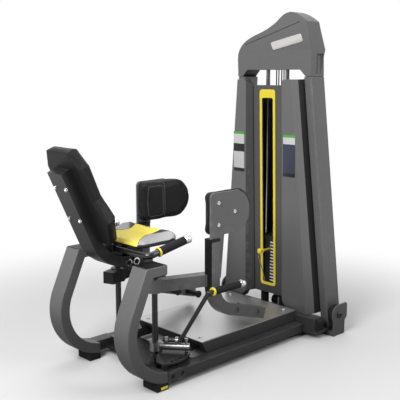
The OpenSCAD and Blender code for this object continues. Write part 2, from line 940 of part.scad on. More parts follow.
// Front cross beam with the cable window, and the deck that carries the tower
module tower_base() {
    window_half = 30;
    window_z = 66;
    window_h = 30;
    color(grey) place() difference() {
        union() {
            translate([tower_x, -cross_half, deck_top - eps])
                cube([cross_w, 2 * cross_half, cross_top - deck_top + eps]);
            translate([tower_x, -deck_half, deck_z])
                cube([deck_end - tower_x, 2 * deck_half, deck_top - deck_z]);
        }
        translate([tower_x - 1, -window_half, window_z]) cube([cross_w + 2, 2 * window_half, window_h]);
    }
}

// Ribbed rubber noses on the ends of the cross beam
module beam_ends() {
    lip = 2;
    nose_t = 18;
    slope = 10;
    rib = 5;
    high = cross_top - deck_top - lip;
    long = cross_w - 2 * lip;
    color(black) place() pair() translate([tower_x + lip, cross_half, deck_top]) difference() {
        hull() {
            cube([long, nose_t - slope, high]);
            translate([slope, 0, slope]) cube([long - 2 * slope, nose_t, high - 2 * slope]);
        }
        for (i = [1:3]) translate([-1, nose_t - slope - 2, 2 * i * rib])
            cube([long + 2, slope + 3, rib / 2]);
    }
}

// Rear foot blocks with the plate outside each transport wheel
module tower_feet() {
    x0 = foot_x;
    x1 = foot_x + foot_l;
    in_y = deck_half - 26;
    step_z = 64;
    nose_z = 80;
    heel_z = 60;
    brow = 40;
    top_r = wheel_r + 2;
    color(grey) place() pair() difference() {
        union() {
            translate([x0, in_y, 0]) cube([x1 - x0, foot_y + foot_t - in_y, deck_z]);
            across(foot_y, foot_y + foot_t) {
                polygon([
                    [x0, 0], [x1, 0], [x1, step_z], [x1 + foot_nose, nose_z],
                    [x1 + foot_nose, wheel_z + brow], [x1 + foot_nose / 2, wheel_z + top_r],
                    [wheel_x, wheel_z + top_r], [wheel_x - top_r, wheel_z], [x0, heel_z]
                ]);
                translate([wheel_x, wheel_z]) circle(top_r);
            }
        }
        translate([wheel_x, foot_y + foot_t + 1, wheel_z]) rotate([90, 0, 0])
            cylinder(h = foot_t + 2, r = axle_r + play);
    }
}

module wheel_bolts() {
    head_r = 16;
    head_h = 10;
    post_face = post_y(wheel_z - axle_r) + 0.2;
    color(dark) place() pair() translate([wheel_x, foot_y + foot_t, wheel_z]) rotate([-90, 0, 0])
        button_bolt(head_r, head_h, axle_r, foot_y + foot_t - post_face);
}

// Rubber-tyred transport wheel
module wheel() {
    hub_r = 26;
    dish = 3;
    color(black) place() translate([wheel_x, wheel_y, wheel_z]) rotate([-90, 0, 0]) rotate_extrude()
        polygon([
            [axle_r + play, 0], [hub_r, 0], [hub_r + 3, dish], [wheel_r - 8, dish], [wheel_r - 5, 0],
            [wheel_r - 2, 0], [wheel_r, 3], [wheel_r, wheel_w - 3], [wheel_r - 2, wheel_w],
            [wheel_r - 5, wheel_w], [wheel_r - 8, wheel_w - dish], [hub_r + 3, wheel_w - dish],
            [hub_r, wheel_w], [axle_r + play, wheel_w]
        ]);
}

module wheel_left() {
    wheel();
}

module wheel_right() {
    mirror([0, 1, 0]) wheel();
}

// Weight stack, pulleys and cables

module weight_plate(z, h, stem_gap) {
    translate([stack_x, 0, z]) difference() {
        linear_extrude(h) true_rect([-stack_d / 2, -stack_w / 2], [stack_d / 2, stack_w / 2], 6);
        pair() translate([0, rod_y, -1]) cylinder(h = h + 2, r = rod_r + clear);
        translate([0, 0, -1]) cylinder(h = h + 2, r = stem_r + stem_gap);
        if (stem_gap == clear) translate([stem_r + pin_past + clear, 0, plate_pitch / 2])
            rotate([0, -90, 0]) cylinder(h = stack_d, r = pin_r + play);
    }
}

module stack_rest() {
    color(dark) place() for (i = [0:rest_count - 1])
        weight_plate(stack_z + i * plate_pitch, plate_pitch - plate_gap, clear);
}

module stack_lifted() {
    color(dark) place() for (i = [0:lift_count - 1])
        weight_plate(lift_z + i * plate_pitch, plate_pitch - plate_gap, clear);
}

module head_plate() {
    color(dark) place() weight_plate(top_z, head_t, play);
}

module stack_buffers() {
    buffer_r = 20;
    color(black) place() pair() translate([stack_x, rod_y, deck_top]) difference() {
        cylinder(h = stack_z - deck_top, r = buffer_r);
        translate([0, 0, -1]) cylinder(h = stack_z, r = rod_r + play);
    }
}

// Drilled stem that hangs in the stack, with the cable connector on top
module selector_stem() {
    connector_r = 15;
    low = stack_z + 10;
    color(steel) place() translate([stack_x, 0, 0]) difference() {
        union() {
            translate([0, 0, low]) cylinder(h = stem_top - low, r = stem_r);
            translate([0, 0, top_z + head_t]) cylinder(h = stem_top - top_z - head_t, r = connector_r);
        }
        for (i = [1:rest_count + lift_count - 1])
            translate([-connector_r, 0, stack_z + (i + 0.5) * plate_pitch]) rotate([0, 90, 0])
                cylinder(h = 2 * connector_r, r = pin_r + play);
    }
}

// Selector pin with a turned knob
module selector_pin() {
    knob_r = 13;
    knob_l = 28;
    length = stack_x + stem_r + pin_past - knob_x - knob_l;
    color(yellow) place() translate([knob_x, 0, pin_z]) rotate([0, 90, 0]) rotate_extrude() polygon([
        [0, 0], [knob_r - 4, 0], [knob_r, 4], [knob_r, 10], [knob_r - 4, 16], [knob_r - 4, 22],
        [knob_r - 2, knob_l], [pin_r, knob_l], [pin_r, knob_l + length - 2],
        [pin_r - 2, knob_l + length], [0, knob_l + length]
    ]);
}

// Strap hanging from the pin's knob in front of the slot
module pin_tether() {
    color([0.62, 0.5, 0.3]) place() cord(tether_route, 2.2);
}

// Two cables, each from its cam, through the beam window, under the low pulley and over the top one
function arc_points(c, y, a0, a1, n) =
    [for (i = [0:n]) let (a = a0 + (a1 - a0) * i / n)
        [c.x + pulley_r * cos(a), y, c.y + pulley_r * sin(a)]];

module drive_cables() {
    color(dark) place() pair() cord(concat(
        [[shaft_x + cam_r * cos(cam_tangent), shaft_y + cam_r * sin(cam_tangent), cam_z + cam_t / 2],
            [lead_x, cable_y, low_pulley_z - pulley_r]],
        arc_points([pulley_x, low_pulley_z], cable_y, -90, 0, 4),
        arc_points([pulley_x, top_pulley_z], cable_y, 0, 180, 8),
        [[stack_x, cable_y, top_pulley_z - cable_d / 2]]
    ), cable_d / 2);
}

module lift_cables() {
    color(dark) place() pair()
        cord([
            [stack_x, cable_y, top_pulley_z - cable_d / 2 - play], [stack_x, cable_y, stem_top]
        ], cable_d / 2);
}

// Pulley with one groove for each cable, its axis along y
module pulley(z) {
    rim = pulley_r + flange;
    color(black) place() translate([pulley_x, 0, z]) rotate([90, 0, 0]) difference() {
        translate([0, 0, -pulley_half]) cylinder(h = 2 * pulley_half, r = rim);
        translate([0, 0, -pulley_half - 1])
            cylinder(h = 2 * pulley_half + 2, r = pulley_axle_r + play);
        for (y = [-cable_y, cable_y]) translate([0, 0, y]) rotate_extrude() {
            translate([pulley_r, 0]) circle(groove_r);
            translate([pulley_r, -groove_r]) square([rim, 2 * groove_r]);
        }
    }
}

module top_pulley() {
    pulley(top_pulley_z);
}

module low_pulley() {
    pulley(low_pulley_z);
}

// Two cheeks and an axle for each pulley: hung in the cap's pocket, and stood on the deck
module pulley_brackets() {
    cheek_y = pulley_half + 0.3;
    cheek_half = 11;
    over = 13;
    color(steel) place() translate([pulley_x, 0, 0]) {
        pair() translate([-cheek_half, cheek_y, 0]) {
            translate([0, 0, top_pulley_z - over])
                cube([2 * cheek_half, bracket_t, pocket_z - top_pulley_z + over]);
            translate([0, 0, deck_top])
                cube([2 * cheek_half, bracket_t, low_pulley_z + over - deck_top]);
        }
        for (z = [top_pulley_z, low_pulley_z]) translate([0, cheek_y + eps, z]) rotate([90, 0, 0])
            cylinder(h = 2 * (cheek_y + eps), r = pulley_axle_r);
    }
}

// Swing arms

// Bent bar of an arm: upright, one bend, and a run that drops towards the tower
module bar_outline() {
    cx = bar_x + bar_w + bar_bend_r;
    translate([bar_x + lap, bar_cz - 1]) square([bar_w - 2 * lap, bar_top - bar_cz + 1]);
    translate([cx, bar_cz]) {
        ring_part(bar_bend_r, bar_bend_r + bar_w, 180, 270 - bar_drop);
        rotate(270 - bar_drop) translate([bar_bend_r + lap, -1])
            square([bar_w - 2 * lap, bar_run + 1]);
    }
}

// Point on the middle of a bar's lower run
function run_point(t) =
    [bar_x + bar_w + bar_bend_r, bar_cz]
    + (bar_bend_r + bar_w / 2) * [-sin(bar_drop), -cos(bar_drop)]
    + t * [cos(bar_drop), -sin(bar_drop)];

peg_ts = [38, 175];

module arm() {
    hub_h = arm_side + 6;
    flange_t = 5;
    sink_r = 13;
    sink = 5;
    in_y = bar_out_y - bar_d;
    color(grey) place() difference() {
        union() {
            translate([shaft_x, shaft_y, arm_z - hub_h / 2]) cylinder(h = hub_h, r = hub_r);
            intersection() {
                translate([shaft_x, shaft_y, arm_z]) rotate(arm_angle)
                    translate([-arm_tail, -arm_side / 2, -arm_side / 2])
                        cube([big, arm_side, arm_side]);
                cube([bar_x + bar_w, big, big]);
            }
            across(in_y, bar_out_y) bar_outline();
            for (t = peg_ts) translate([run_point(t).x, in_y + eps, run_point(t).y])
                rotate([90, 0, 0]) {
                    cylinder(h = peg_len, r = peg_d / 2);
                    translate([0, 0, peg_len - flange_t]) cylinder(h = flange_t, r = peg_d / 2 + 3);
                }
        }
        translate([shaft_x, shaft_y, arm_z - hub_h]) cylinder(h = 2 * hub_h, r = shaft_r + play);
        for (t = peg_ts) translate([run_point(t).x, bar_out_y + 1, run_point(t).y])
            rotate([90, 0, 0]) cylinder(h = sink + 1, r = sink_r);
    }
}

module arm_left() {
    arm();
}

module arm_right() {
    mirror([0, 1, 0]) arm();
}

// Pivot shaft with its cable cam
module shaft() {
    hub = 24;
    rim = 4;
    foot = boss_top + 0.3;
    cam_wrap = 65;
    cam_tail = 5;
    color(dark) place() translate([shaft_x, shaft_y, 0]) {
        translate([0, 0, plate_z]) cylinder(h = shaft_top - plate_z, r = shaft_r);
        translate([0, 0, foot]) cylinder(h = cam_z + cam_t + rim - foot, r = hub);
        translate([0, 0, cam_z]) difference() {
            linear_extrude(cam_t)
                ring_part(hub - rim, cam_r + rim, cam_tangent - cam_wrap, cam_tangent + cam_tail);
            translate([0, 0, cam_t / 2]) rotate_extrude() {
                translate([cam_r, 0]) circle(groove_r);
                translate([cam_r, -groove_r]) square([cam_r, 2 * groove_r]);
            }
        }
    }
}

module shaft_left() {
    shaft();
}

module shaft_right() {
    mirror([0, 1, 0]) shaft();
}

// Carrier plate of a thigh cushion: round-nosed, on the bar's top, with a tail down the bar
disc_bolts = [[43, 46], [43, -46], [138, 0]];

module disc_outline() {
    low = disc_z - disc_h / 2;
    r = disc_h / 2;
    tail_x = bar_x + bar_w;
    tail_z = 385;
    slit = 50;
    difference() {
        union() {
            true_rect([bar_x, low], [bar_x + 2 * r, low + disc_h], 20);
            translate([bar_x + r, low]) square([disc_l - disc_h, disc_h]);
            translate([bar_x + disc_l - r, disc_z]) circle(r);
            polygon([
                [bar_x, bar_top], [tail_x, bar_top], [tail_x, tail_z], [tail_x + 11, tail_z],
                [tail_x + 30, low], [tail_x + 40, low + 30], [bar_x, low + 30]
            ]);
        }
        translate([tail_x, bar_top - 43 - slit]) square([7, slit]);
    }
}

module pad_disc() {
    color(grey) place() difference() {
        across(disc_y - disc_t, disc_y) disc_outline();
        for (b = disc_bolts) translate([bar_x + b.x, disc_y + 1, disc_z + b.y]) rotate([90, 0, 0])
            cylinder(h = disc_t + 2, r = bolt_shank_r + play);
    }
}

module pad_disc_left() {
    pad_disc();
}

module pad_disc_right() {
    mirror([0, 1, 0]) pad_disc();
}

// Thigh cushion: round at the front, falling away behind its seam
module thigh_pad() {
    a = pad_l / 2;
    b = pad_h / 2;
    outline = rounded([[-a, -b], [a, -b], [a, b], [-a, b]], [26, b - 1, b - 1, 26], 9);
    color(black) place() translate([pad_cx, disc_y - disc_t, disc_z]) rotate([90, 0, 0])
        cushion(outline, pad_t, seam = -0.1 * pad_l, fall = 0.0032);
}

module thigh_pad_left() {
    thigh_pad();
}

module thigh_pad_right() {
    mirror([0, 1, 0]) thigh_pad();
}

module pad_bolts() {
    color(chrome) place() for (b = disc_bolts)
        translate([bar_x + b.x, disc_y, disc_z + b.y]) rotate([-90, 0, 0])
            button_bolt(bolt_r, bolt_h, bolt_shank_r, disc_t);
}

module pad_bolts_left() {
    pad_bolts();
}

module pad_bolts_right() {
    mirror([0, 1, 0]) pad_bolts();
}

// Start lever on the right arm

// A point at a radius along the latch arm, at a height
function latch_point(r, z) =
    [shaft_x + r * cos(latch_angle), r * sin(latch_angle) - shaft_y, z];

// Radial arm on the shaft that carries the latch pin and the lever's two lugs
module latch_arm() {
    collar_r = 24;
    lug_rs = [48, 90];
    lug_w = 12;
    lug_r = lever_r + 6;
    color(chrome) place() translate([shaft_x, -shaft_y, 0]) difference() {
        union() {
            translate([0, 0, latch_z - 18]) cylinder(h = 36, r = collar_r);
            rotate(latch_angle) {
                translate([shaft_r, 0, latch_z]) rotate([0, 90, 0])
                    cylinder(h = latch_len - shaft_r, r = latch_r);
                for (r = lug_rs) translate([r - lug_w / 2, 0, lever_z]) rotate([0, 90, 0])
                    cylinder(h = lug_w, r = lug_r);
            }
        }
        translate([0, 0, latch_z - 20]) cylinder(h = 40, r = shaft_r + play);
        rotate(latch_angle) {
            translate([hole_r, 0, latch_z - latch_r - 1])
                cylinder(h = 2 * latch_r + 2, r = latch_pin_r + play);
            translate([shaft_r, 0, lever_z]) rotate([0, 90, 0])
                cylinder(h = latch_len, r = lever_r + play);
        }
    }
}

module latch_pin() {
    head_r = 8;
    head_h = 7;
    low = index_z + index_t + latch_rest;
    high = lever_z + 3;
    color(steel) place() translate(latch_point(hole_r, low)) {
        cylinder(h = high - low, r = latch_pin_r);
        translate([0, 0, high - low]) cylinder(h = head_h, r = head_r);
    }
}

// Lever tube: through the lugs, up beside the leg and forward to the grip
module lever_tube() {
    knee = latch_point(lever_knee, lever_z);
    bend = [lever_bend_x, lever_y, lever_grip_z];
    weld = 0.6;
    color(dark) place() {
        bar_between(latch_point(lever_from, lever_z), knee, lever_r);
        translate(knee) sphere(lever_r + weld);
        bar_between(knee, bend, lever_r);
        translate(bend) sphere(lever_r + weld);
        bar_between(bend, [lever_grip_x + lever_grip_l, lever_y, lever_grip_z], lever_r);
    }
}

module lever_grip() {
    color(black) place() translate([lever_grip_x, lever_y, lever_grip_z]) rotate([0, 90, 0])
        grip(lever_r + play, lever_grip_r, lever_grip_l);
}

module lever_end() {
    color(chrome) place() translate([lever_grip_x + lever_grip_l, lever_y, lever_grip_z])
        rotate([0, 90, 0]) grip_end(lever_grip_r + 1.5, grip_end_l + 1);
}

legs();
leg_feet();
splices();
splice_bolts();
base_beams();
base_plate();
index_plate();
platform_box();
platform_top();
chrome_bolts();
cross_head();
seat_frame();
frame_collars();
back_pad();
seat_pad();
seat_mount();
handlebar();
handle_grips();
handle_ends();
posts();
tower_cap();
blank_plates();
side_panels();
slot_panel();
slot_frame();
rear_panel();
guide_rods();
tower_base();
beam_ends();
tower_feet();
wheel_bolts();
wheel_right();
wheel_left();
stack_rest();
stack_buffers();
pulley_brackets();
drive_cables();
arm_right();
arm_left();
shaft_right();
shaft_left();
pad_disc_right();
pad_disc_left();
thigh_pad_right();
thigh_pad_left();
pad_bolts_right();
pad_bolts_left();
head_plate();
selector_stem();
stack_lifted();
selector_pin();
pin_tether();
lift_cables();
top_pulley();
low_pulley();
lever_tube();
lever_grip();
lever_end();
latch_arm();
latch_pin();
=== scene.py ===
import json
import math

import bmesh
import bpy
from mathutils import Matrix, Vector
from mathutils.bvhtree import BVHTree


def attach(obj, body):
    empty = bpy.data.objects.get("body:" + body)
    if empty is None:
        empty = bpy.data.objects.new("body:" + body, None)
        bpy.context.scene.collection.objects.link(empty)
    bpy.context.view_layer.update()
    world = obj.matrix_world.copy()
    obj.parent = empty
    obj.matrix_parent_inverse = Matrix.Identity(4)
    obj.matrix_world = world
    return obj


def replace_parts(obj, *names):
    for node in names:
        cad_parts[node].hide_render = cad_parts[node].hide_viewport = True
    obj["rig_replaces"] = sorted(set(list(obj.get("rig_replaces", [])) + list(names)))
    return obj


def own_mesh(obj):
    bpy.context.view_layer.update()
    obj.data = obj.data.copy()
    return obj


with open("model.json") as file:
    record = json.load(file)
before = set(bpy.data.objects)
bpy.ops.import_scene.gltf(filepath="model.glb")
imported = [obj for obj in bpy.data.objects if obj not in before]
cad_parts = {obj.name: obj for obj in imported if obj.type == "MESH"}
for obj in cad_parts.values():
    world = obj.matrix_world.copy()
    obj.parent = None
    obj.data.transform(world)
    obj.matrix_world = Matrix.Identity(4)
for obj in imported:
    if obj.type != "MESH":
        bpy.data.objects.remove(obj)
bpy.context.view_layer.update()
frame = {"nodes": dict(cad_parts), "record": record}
nodes = frame["nodes"]
bodyOf = {node: body for body, names in frame["record"]["behaviour"]["bodies"].items() for node in names}
scene = bpy.context.scene
scene.view_settings.view_transform = "Standard"
midX = 0.40489  # from the leg line to the machine's middle
print("frame loaded:", len(nodes), "nodes")


def fromLeg(x, y, z):  # millimetres, x measured from the leg line
    return Vector((x / 1000 - midX, y / 1000, z / 1000))


# camera, where the photograph was taken from

shot = {"place": (-2.14289, -2.2954, 1.2069), "lens": 65.62, "sensor": 36, "right": (0.7213, -0.6926, 0.0),
        "up": (0.1152, 0.1200, 0.9861), "back": (-0.6830, -0.7112, 0.1664)}
camera = bpy.data.objects.new("camera", bpy.data.cameras.new("camera"))
scene.collection.objects.link(camera)
turn = Matrix((shot["right"], shot["up"], shot["back"])).transposed().to_4x4()
camera.matrix_world = Matrix.Translation(shot["place"]) @ turn
camera.data.lens = shot["lens"]
camera.data.sensor_width = shot["sensor"]
scene.camera = camera

# shader groups that several finishes share


def newGroup(name, inputs, outputs):
    tree = bpy.data.node_groups.new(name, "ShaderNodeTree")
    kinds = {"color": "NodeSocketColor", "value": "NodeSocketFloat", "vector": "NodeSocketVector"}
    for label, kind, start in inputs:
        tree.interface.new_socket(label, in_out="INPUT", socket_type=kinds[kind]).default_value = start
    for label, kind in outputs:
        tree.interface.new_socket(label, in_out="OUTPUT", socket_type=kinds[kind])
    return tree, tree.nodes.new("NodeGroupInput"), tree.nodes.new("NodeGroupOutput")


def calc(tree, operation, a, b=0.0, c=0.0, clamp=False):
    step = tree.nodes.new("ShaderNodeMath")
    step.operation = operation
    step.use_clamp = clamp
    for socket, value in zip(step.inputs, (a, b, c)):
        if isinstance(value, (int, float)):
            socket.default_value = value
        else:
            tree.links.new(value, socket)
    return step.outputs[0]


def ramp(tree, value, low, high):  # 0 below low, 1 above high, smooth between
    step = tree.nodes.new("ShaderNodeMapRange")
    step.interpolation_type = "SMOOTHSTEP"
    tree.links.new(value, step.inputs["Value"])
    step.inputs["From Min"].default_value = low
    step.inputs["From Max"].default_value = high
    return step.outputs["Result"]


def blendColor(tree, mask, a, b):
    step = tree.nodes.new("ShaderNodeMix")
    step.data_type = "RGBA"
    tree.links.new(mask, step.inputs[0])
    for socket, value in ((step.inputs[6], a), (step.inputs[7], b)):
        if isinstance(value, tuple):
            socket.default_value = (*value, 1)
        else:
            tree.links.new(value, socket)
    return step.outputs[2]


def noise(tree, place, scale, detail=3.0):
    step = tree.nodes.new("ShaderNodeTexNoise")
    tree.links.new(place, step.inputs["Vector"])
    step.inputs["Detail"].default_value = detail
    if isinstance(scale, (int, float)):
        step.inputs["Scale"].default_value = scale
    else:
        tree.links.new(scale, step.inputs["Scale"])
    return step.outputs["Fac"]


def vectorStep(tree, operation, value):
    step = tree.nodes.new("ShaderNodeVectorMath")
    step.operation = operation
    tree.links.new(value, step.inputs[0])
    return step


def shade(tree, color, amount):  # the colour times a value
    step = vectorStep(tree, "SCALE", color)
    tree.links.new(amount, step.inputs["Scale"])
    return step.outputs[0]


def sway(tree, value, amount, middle=1.0):  # the middle, give or take half the amount
    return calc(tree, "MULTIPLY_ADD", calc(tree, "SUBTRACT", value, 0.5), amount, middle)


def splitPlace(tree, place):
    step = tree.nodes.new("ShaderNodeSeparateXYZ")
    tree.links.new(place, step.inputs[0])
    return step.outputs


def objectPlace(tree):
    return tree.nodes.new("ShaderNodeTexCoord").outputs["Object"]


commonInputs = [
    ("Color", "color", (0.5, 0.5, 0.5, 1)), ("Spread", "value", 0.1), ("Blotch", "value", 6.0),
    ("Grain", "value", 900.0), ("Rough", "value", 0.4), ("Rough Spread", "value", 0.1),
]
commonOutputs = [("Color", "color"), ("Roughness", "value"), ("Height", "value")]


def closeSkin(tree, start, end, tone, slow, height):
    rough = sway(tree, slow, start.outputs["Rough Spread"], start.outputs["Rough"])
    tree.links.new(shade(tree, start.outputs["Color"], tone), end.inputs["Color"])
    tree.links.new(rough, end.inputs["Roughness"])
    tree.links.new(height, end.inputs["Height"])
    return tree


def paintSkin():  # powder coat and moulded plastic: fine orange peel, slow tone changes, painted shade darkening towards the floor
    tree, start, end = newGroup("paintSkin", [*commonInputs, ("Floor Shade", "value", 0.0)], commonOutputs)
    place = objectPlace(tree)
    fine = noise(tree, place, start.outputs["Grain"], 2.0)
    speck = noise(tree, place, 210.0, 1.0)
    slow = noise(tree, place, start.outputs["Blotch"], 4.0)
    tone = sway(tree, slow, start.outputs["Spread"])
    tone = sway(tree, fine, 0.16, tone)
    tone = sway(tree, speck, 0.22, tone)
    # painted shade: darker towards the floor, over the lowest half metre
    low = calc(tree, "SUBTRACT", 1.0, ramp(tree, splitPlace(tree, place)["Z"], 0.0, 0.5))
    floorShadeFactor = calc(tree, "SUBTRACT", 1.0, calc(tree, "MULTIPLY", low, start.outputs["Floor Shade"]))
    return closeSkin(tree, start, end, calc(tree, "MULTIPLY", tone, floorShadeFactor), slow, fine)


def coverSkin():  # vinyl cover: pebbled grain, with painted shade darkening the creases between the pebbles
    tree, start, end = newGroup("coverSkin", commonInputs, commonOutputs)
    place = objectPlace(tree)
    pebble = tree.nodes.new("ShaderNodeTexVoronoi")
    pebble.feature = "SMOOTH_F1"
    tree.links.new(place, pebble.inputs["Vector"])
    tree.links.new(start.outputs["Grain"], pebble.inputs["Scale"])
    slow = noise(tree, place, start.outputs["Blotch"], 3.0)
    tone = sway(tree, slow, start.outputs["Spread"])
    # painted shade: darker in the creases between the pebbles
    tone = calc(tree, "SUBTRACT", tone, calc(tree, "MULTIPLY", pebble.outputs["Distance"], 0.22))
    return closeSkin(tree, start, end, tone, slow, calc(tree, "SUBTRACT", 1.0, pebble.outputs["Distance"]))


def metalSkin():  # drawn or polished metal: stretched fine scratches and cloudy handling marks
    tree, start, end = newGroup("metalSkin", commonInputs + [("Stretch", "vector", (1, 1, 1))], commonOutputs)
    place = objectPlace(tree)
    stretched = vectorStep(tree, "MULTIPLY", place)
    tree.links.new(start.outputs["Stretch"], stretched.inputs[1])
    lines = noise(tree, stretched.outputs[0], start.outputs["Grain"], 3.0)
    slow = noise(tree, place, start.outputs["Blotch"], 3.0)
    return closeSkin(tree, start, end, sway(tree, lines, start.outputs["Spread"]), slow, lines)


def edgeRub():  # paint rubbed thin on outer edges, in patches
    inputs = [("Color", "color", (0.5, 0.5, 0.5, 1)), ("Worn", "color", (0.6, 0.6, 0.6, 1)),
              ("Amount", "value", 0.3)]
    tree, start, end = newGroup("edgeRub", inputs, [("Color", "color")])
    point = tree.nodes.new("ShaderNodeNewGeometry").outputs["Pointiness"]
    patch = ramp(tree, noise(tree, objectPlace(tree), 38.0, 5.0), 0.46, 0.62)
    mask = calc(tree, "MULTIPLY", ramp(tree, point, 0.53, 0.62), patch)
    mask = calc(tree, "MULTIPLY", mask, start.outputs["Amount"], clamp=True)
    tree.links.new(blendColor(tree, mask, start.outputs["Color"], start.outputs["Worn"]), end.inputs["Color"])
    return tree


skins = {"paint": paintSkin(), "cover": coverSkin(), "metal": metalSkin()}
rubbed = edgeRub()

# finishes, each a skin with its colour and how it varies, shines and wears, and how much painted shade darkens it
# towards the floor

finishes = {
    "frameGrey": dict(color=(0.142, 0.142, 0.145), spread=0.10, rough=0.40, bump=0.06, wear=0.30, shine=0.4,
                      inkAndFloorShade=0.5),
    # frameShade: frameGrey painted darker, as painted shade on the low beams, splices and base and on shaded faces
    "frameShade": dict(color=(0.066, 0.066, 0.068), spread=0.12, rough=0.42, bump=0.06, wear=0.30, shine=0.4,
                       inkAndFloorShade=0.5),
    "frameDark": dict(color=(0.016, 0.016, 0.017), spread=0.14, rough=0.34, bump=0.06, wear=0.20, shine=0.45),
    "glossDark": dict(color=(0.016, 0.016, 0.017), spread=0.14, rough=0.20, bump=0.04, wear=0.15, shine=0.6),
    "shellGrey": dict(color=(0.148, 0.148, 0.150), spread=0.07, rough=0.42, grain=2100, bump=0.08, wear=0.12,
                      shine=0.4, inkAndFloorShade=0.5),
    # shellShade: shellGrey painted darker, as painted shade on the recessed slot panel
    "shellShade": dict(color=(0.090, 0.090, 0.091), spread=0.08, rough=0.46, grain=2100, bump=0.08, wear=0.10,
                       shine=0.35, inkAndFloorShade=0.5),
    "shellDark": dict(color=(0.060, 0.060, 0.062), spread=0.08, rough=0.50, grain=2100, bump=0.08, wear=0.10,
                      shine=0.22),
    "plasticBlack": dict(color=(0.010, 0.010, 0.011), spread=0.16, rough=0.42, grain=1700, bump=0.08, wear=0.08,
                         shine=0.25),
    "rubberBlack": dict(color=(0.014, 0.014, 0.015), spread=0.22, rough=0.68, grain=1300, bump=0.16, wear=0.16,
                        shine=0.18),
    "gripFoam": dict(skin="cover", color=(0.020, 0.020, 0.022), spread=0.16, rough=0.72, grain=620, bump=0.20,
                     shine=0.18),
    "vinylBlack": dict(skin="cover", color=(0.011, 0.011, 0.012), spread=0.18, rough=0.50, grain=420, bump=0.14,
                       shine=0.26),
    "yellowTrim": dict(color=(0.86, 0.69, 0.045), spread=0.07, rough=0.36, bump=0.05, coat=0.15),
    "chrome": dict(skin="metal", color=(0.80, 0.80, 0.82), spread=0.05, rough=0.10, roughSpread=0.08, grain=260,
                   metallic=1.0, bump=0.02),
    "drawnSteel": dict(skin="metal", color=(0.34, 0.34, 0.35), spread=0.22, rough=0.30, roughSpread=0.16, grain=150,
                       stretch=(6, 6, 0.4), metallic=1.0, bump=0.10),
    "rodSteel": dict(skin="metal", color=(0.42, 0.42, 0.43), spread=0.14, rough=0.16, roughSpread=0.10, grain=150,
                     stretch=(6, 6, 0.4), metallic=1.0, bump=0.04),
    "treadMetal": dict(skin="metal", color=(0.56, 0.56, 0.56), spread=0.12, rough=0.32, roughSpread=0.18, grain=190,
                       stretch=(1.0, 7, 1.0), metallic=0.8, bump=0.06),
    "castIron": dict(color=(0.014, 0.014, 0.015), spread=0.2, rough=0.46, grain=900, bump=0.16, wear=0.3,
                     shine=0.3),
    "cableSheath": dict(color=(0.014, 0.014, 0.014), spread=0.2, rough=0.34, grain=1200, bump=0.05, shine=0.3),
    "strapTan": dict(skin="cover", color=(0.36, 0.24, 0.10), spread=0.25, rough=0.7, grain=900, bump=0.25),
    "badgeSilver": dict(skin="metal", color=(0.74, 0.73, 0.70), spread=0.08, rough=0.32, grain=240,
                        stretch=(1, 0.3, 6), metallic=0.55, bump=0.03),
    "markWhite": dict(color=(0.70, 0.70, 0.70), spread=0.10, rough=0.45, grain=900, bump=0.03),
    "threadGrey": dict(skin="cover", color=(0.075, 0.075, 0.08), spread=0.2, rough=0.55, bump=0.2, shine=0.3),
}


def newLook(name):
    look = bpy.data.materials.new(name)
    look.use_nodes = True
    return look, look.node_tree, look.node_tree.nodes["Principled BSDF"]


def laySkin(tree, shader, skin, values, bump=0.0):  # a skin wired to the shader
    layer = tree.nodes.new("ShaderNodeGroup")
    layer.node_tree = skins[skin]
    for label, value in values.items():
        layer.inputs[label].default_value = value
    tree.links.new(layer.outputs["Color"], shader.inputs["Base Color"])
    tree.links.new(layer.outputs["Roughness"], shader.inputs["Roughness"])
    if bump:
        relief = tree.nodes.new("ShaderNodeBump")
        relief.inputs["Strength"].default_value = bump
        relief.inputs["Distance"].default_value = 0.001
        tree.links.new(layer.outputs["Height"], relief.inputs["Height"])
        tree.links.new(relief.outputs["Normal"], shader.inputs["Normal"])
    return layer


def makeFinish(name, color, spread, rough, bump, skin="paint", grain=1500, blotch=5.0, roughSpread=0.12,
               metallic=0.0, wear=0.0, coat=0.0, shine=0.5, stretch=None, inkAndFloorShade=0.0):
    finish, tree, shader = newLook(name)
    values = {"Color": (*color, 1), "Spread": spread, "Blotch": blotch, "Grain": grain, "Rough": rough,
              "Rough Spread": roughSpread}
    if stretch:
        values["Stretch"] = stretch
    # painted shade towards the floor, for the paint skin
    if inkAndFloorShade:
        values["Floor Shade"] = inkAndFloorShade
    layer = laySkin(tree, shader, skin, values, bump)
    if wear:
        edges = tree.nodes.new("ShaderNodeGroup")
        edges.node_tree = rubbed
        edges.inputs["Worn"].default_value = (*[min(1.0, 0.06 + 1.7 * c) for c in color], 1)
        edges.inputs["Amount"].default_value = wear
        tree.links.new(layer.outputs["Color"], edges.inputs["Color"])
        tree.links.new(edges.outputs["Color"], shader.inputs["Base Color"])
    shader.inputs["Metallic"].default_value = metallic
    shader.inputs["Coat Weight"].default_value = coat
    shader.inputs["Coat Roughness"].default_value = 0.25
    shader.inputs["Specular IOR Level"].default_value = shine
    return finish


finish = {name: makeFinish(name, **values) for name, values in finishes.items()}
print("finishes made:", len(finish))

# making and placing pieces


def newPiece(name, shape, coat, body, standsFor=(), smooth=35):
    mesh = bpy.data.meshes.new(name)
    shape.to_mesh(mesh)
    shape.free()
    return addPiece(name, mesh, coat, body, standsFor, smooth)


def addPiece(name, mesh, coat, body, standsFor=(), smooth=35):
    piece = bpy.data.objects.new(name, mesh)
    scene.collection.objects.link(piece)
    for one in coat if isinstance(coat, list) else [coat]:
        mesh.materials.append(finish[one] if isinstance(one, str) else one)
    mesh.shade_smooth()
    mesh.set_sharp_from_angle(angle=math.radians(smooth))
    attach(piece, body)
    if standsFor:
        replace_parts(piece, *standsFor)
    return piece


def mergedCopy(node):
    shape = bmesh.new()
    shape.from_mesh(nodes[node].data)
    bmesh.ops.remove_doubles(shape, verts=shape.verts, dist=0.00005)
    return shape


def wholeOf(shape):
    return shape.verts[:] + shape.edges[:] + shape.faces[:]


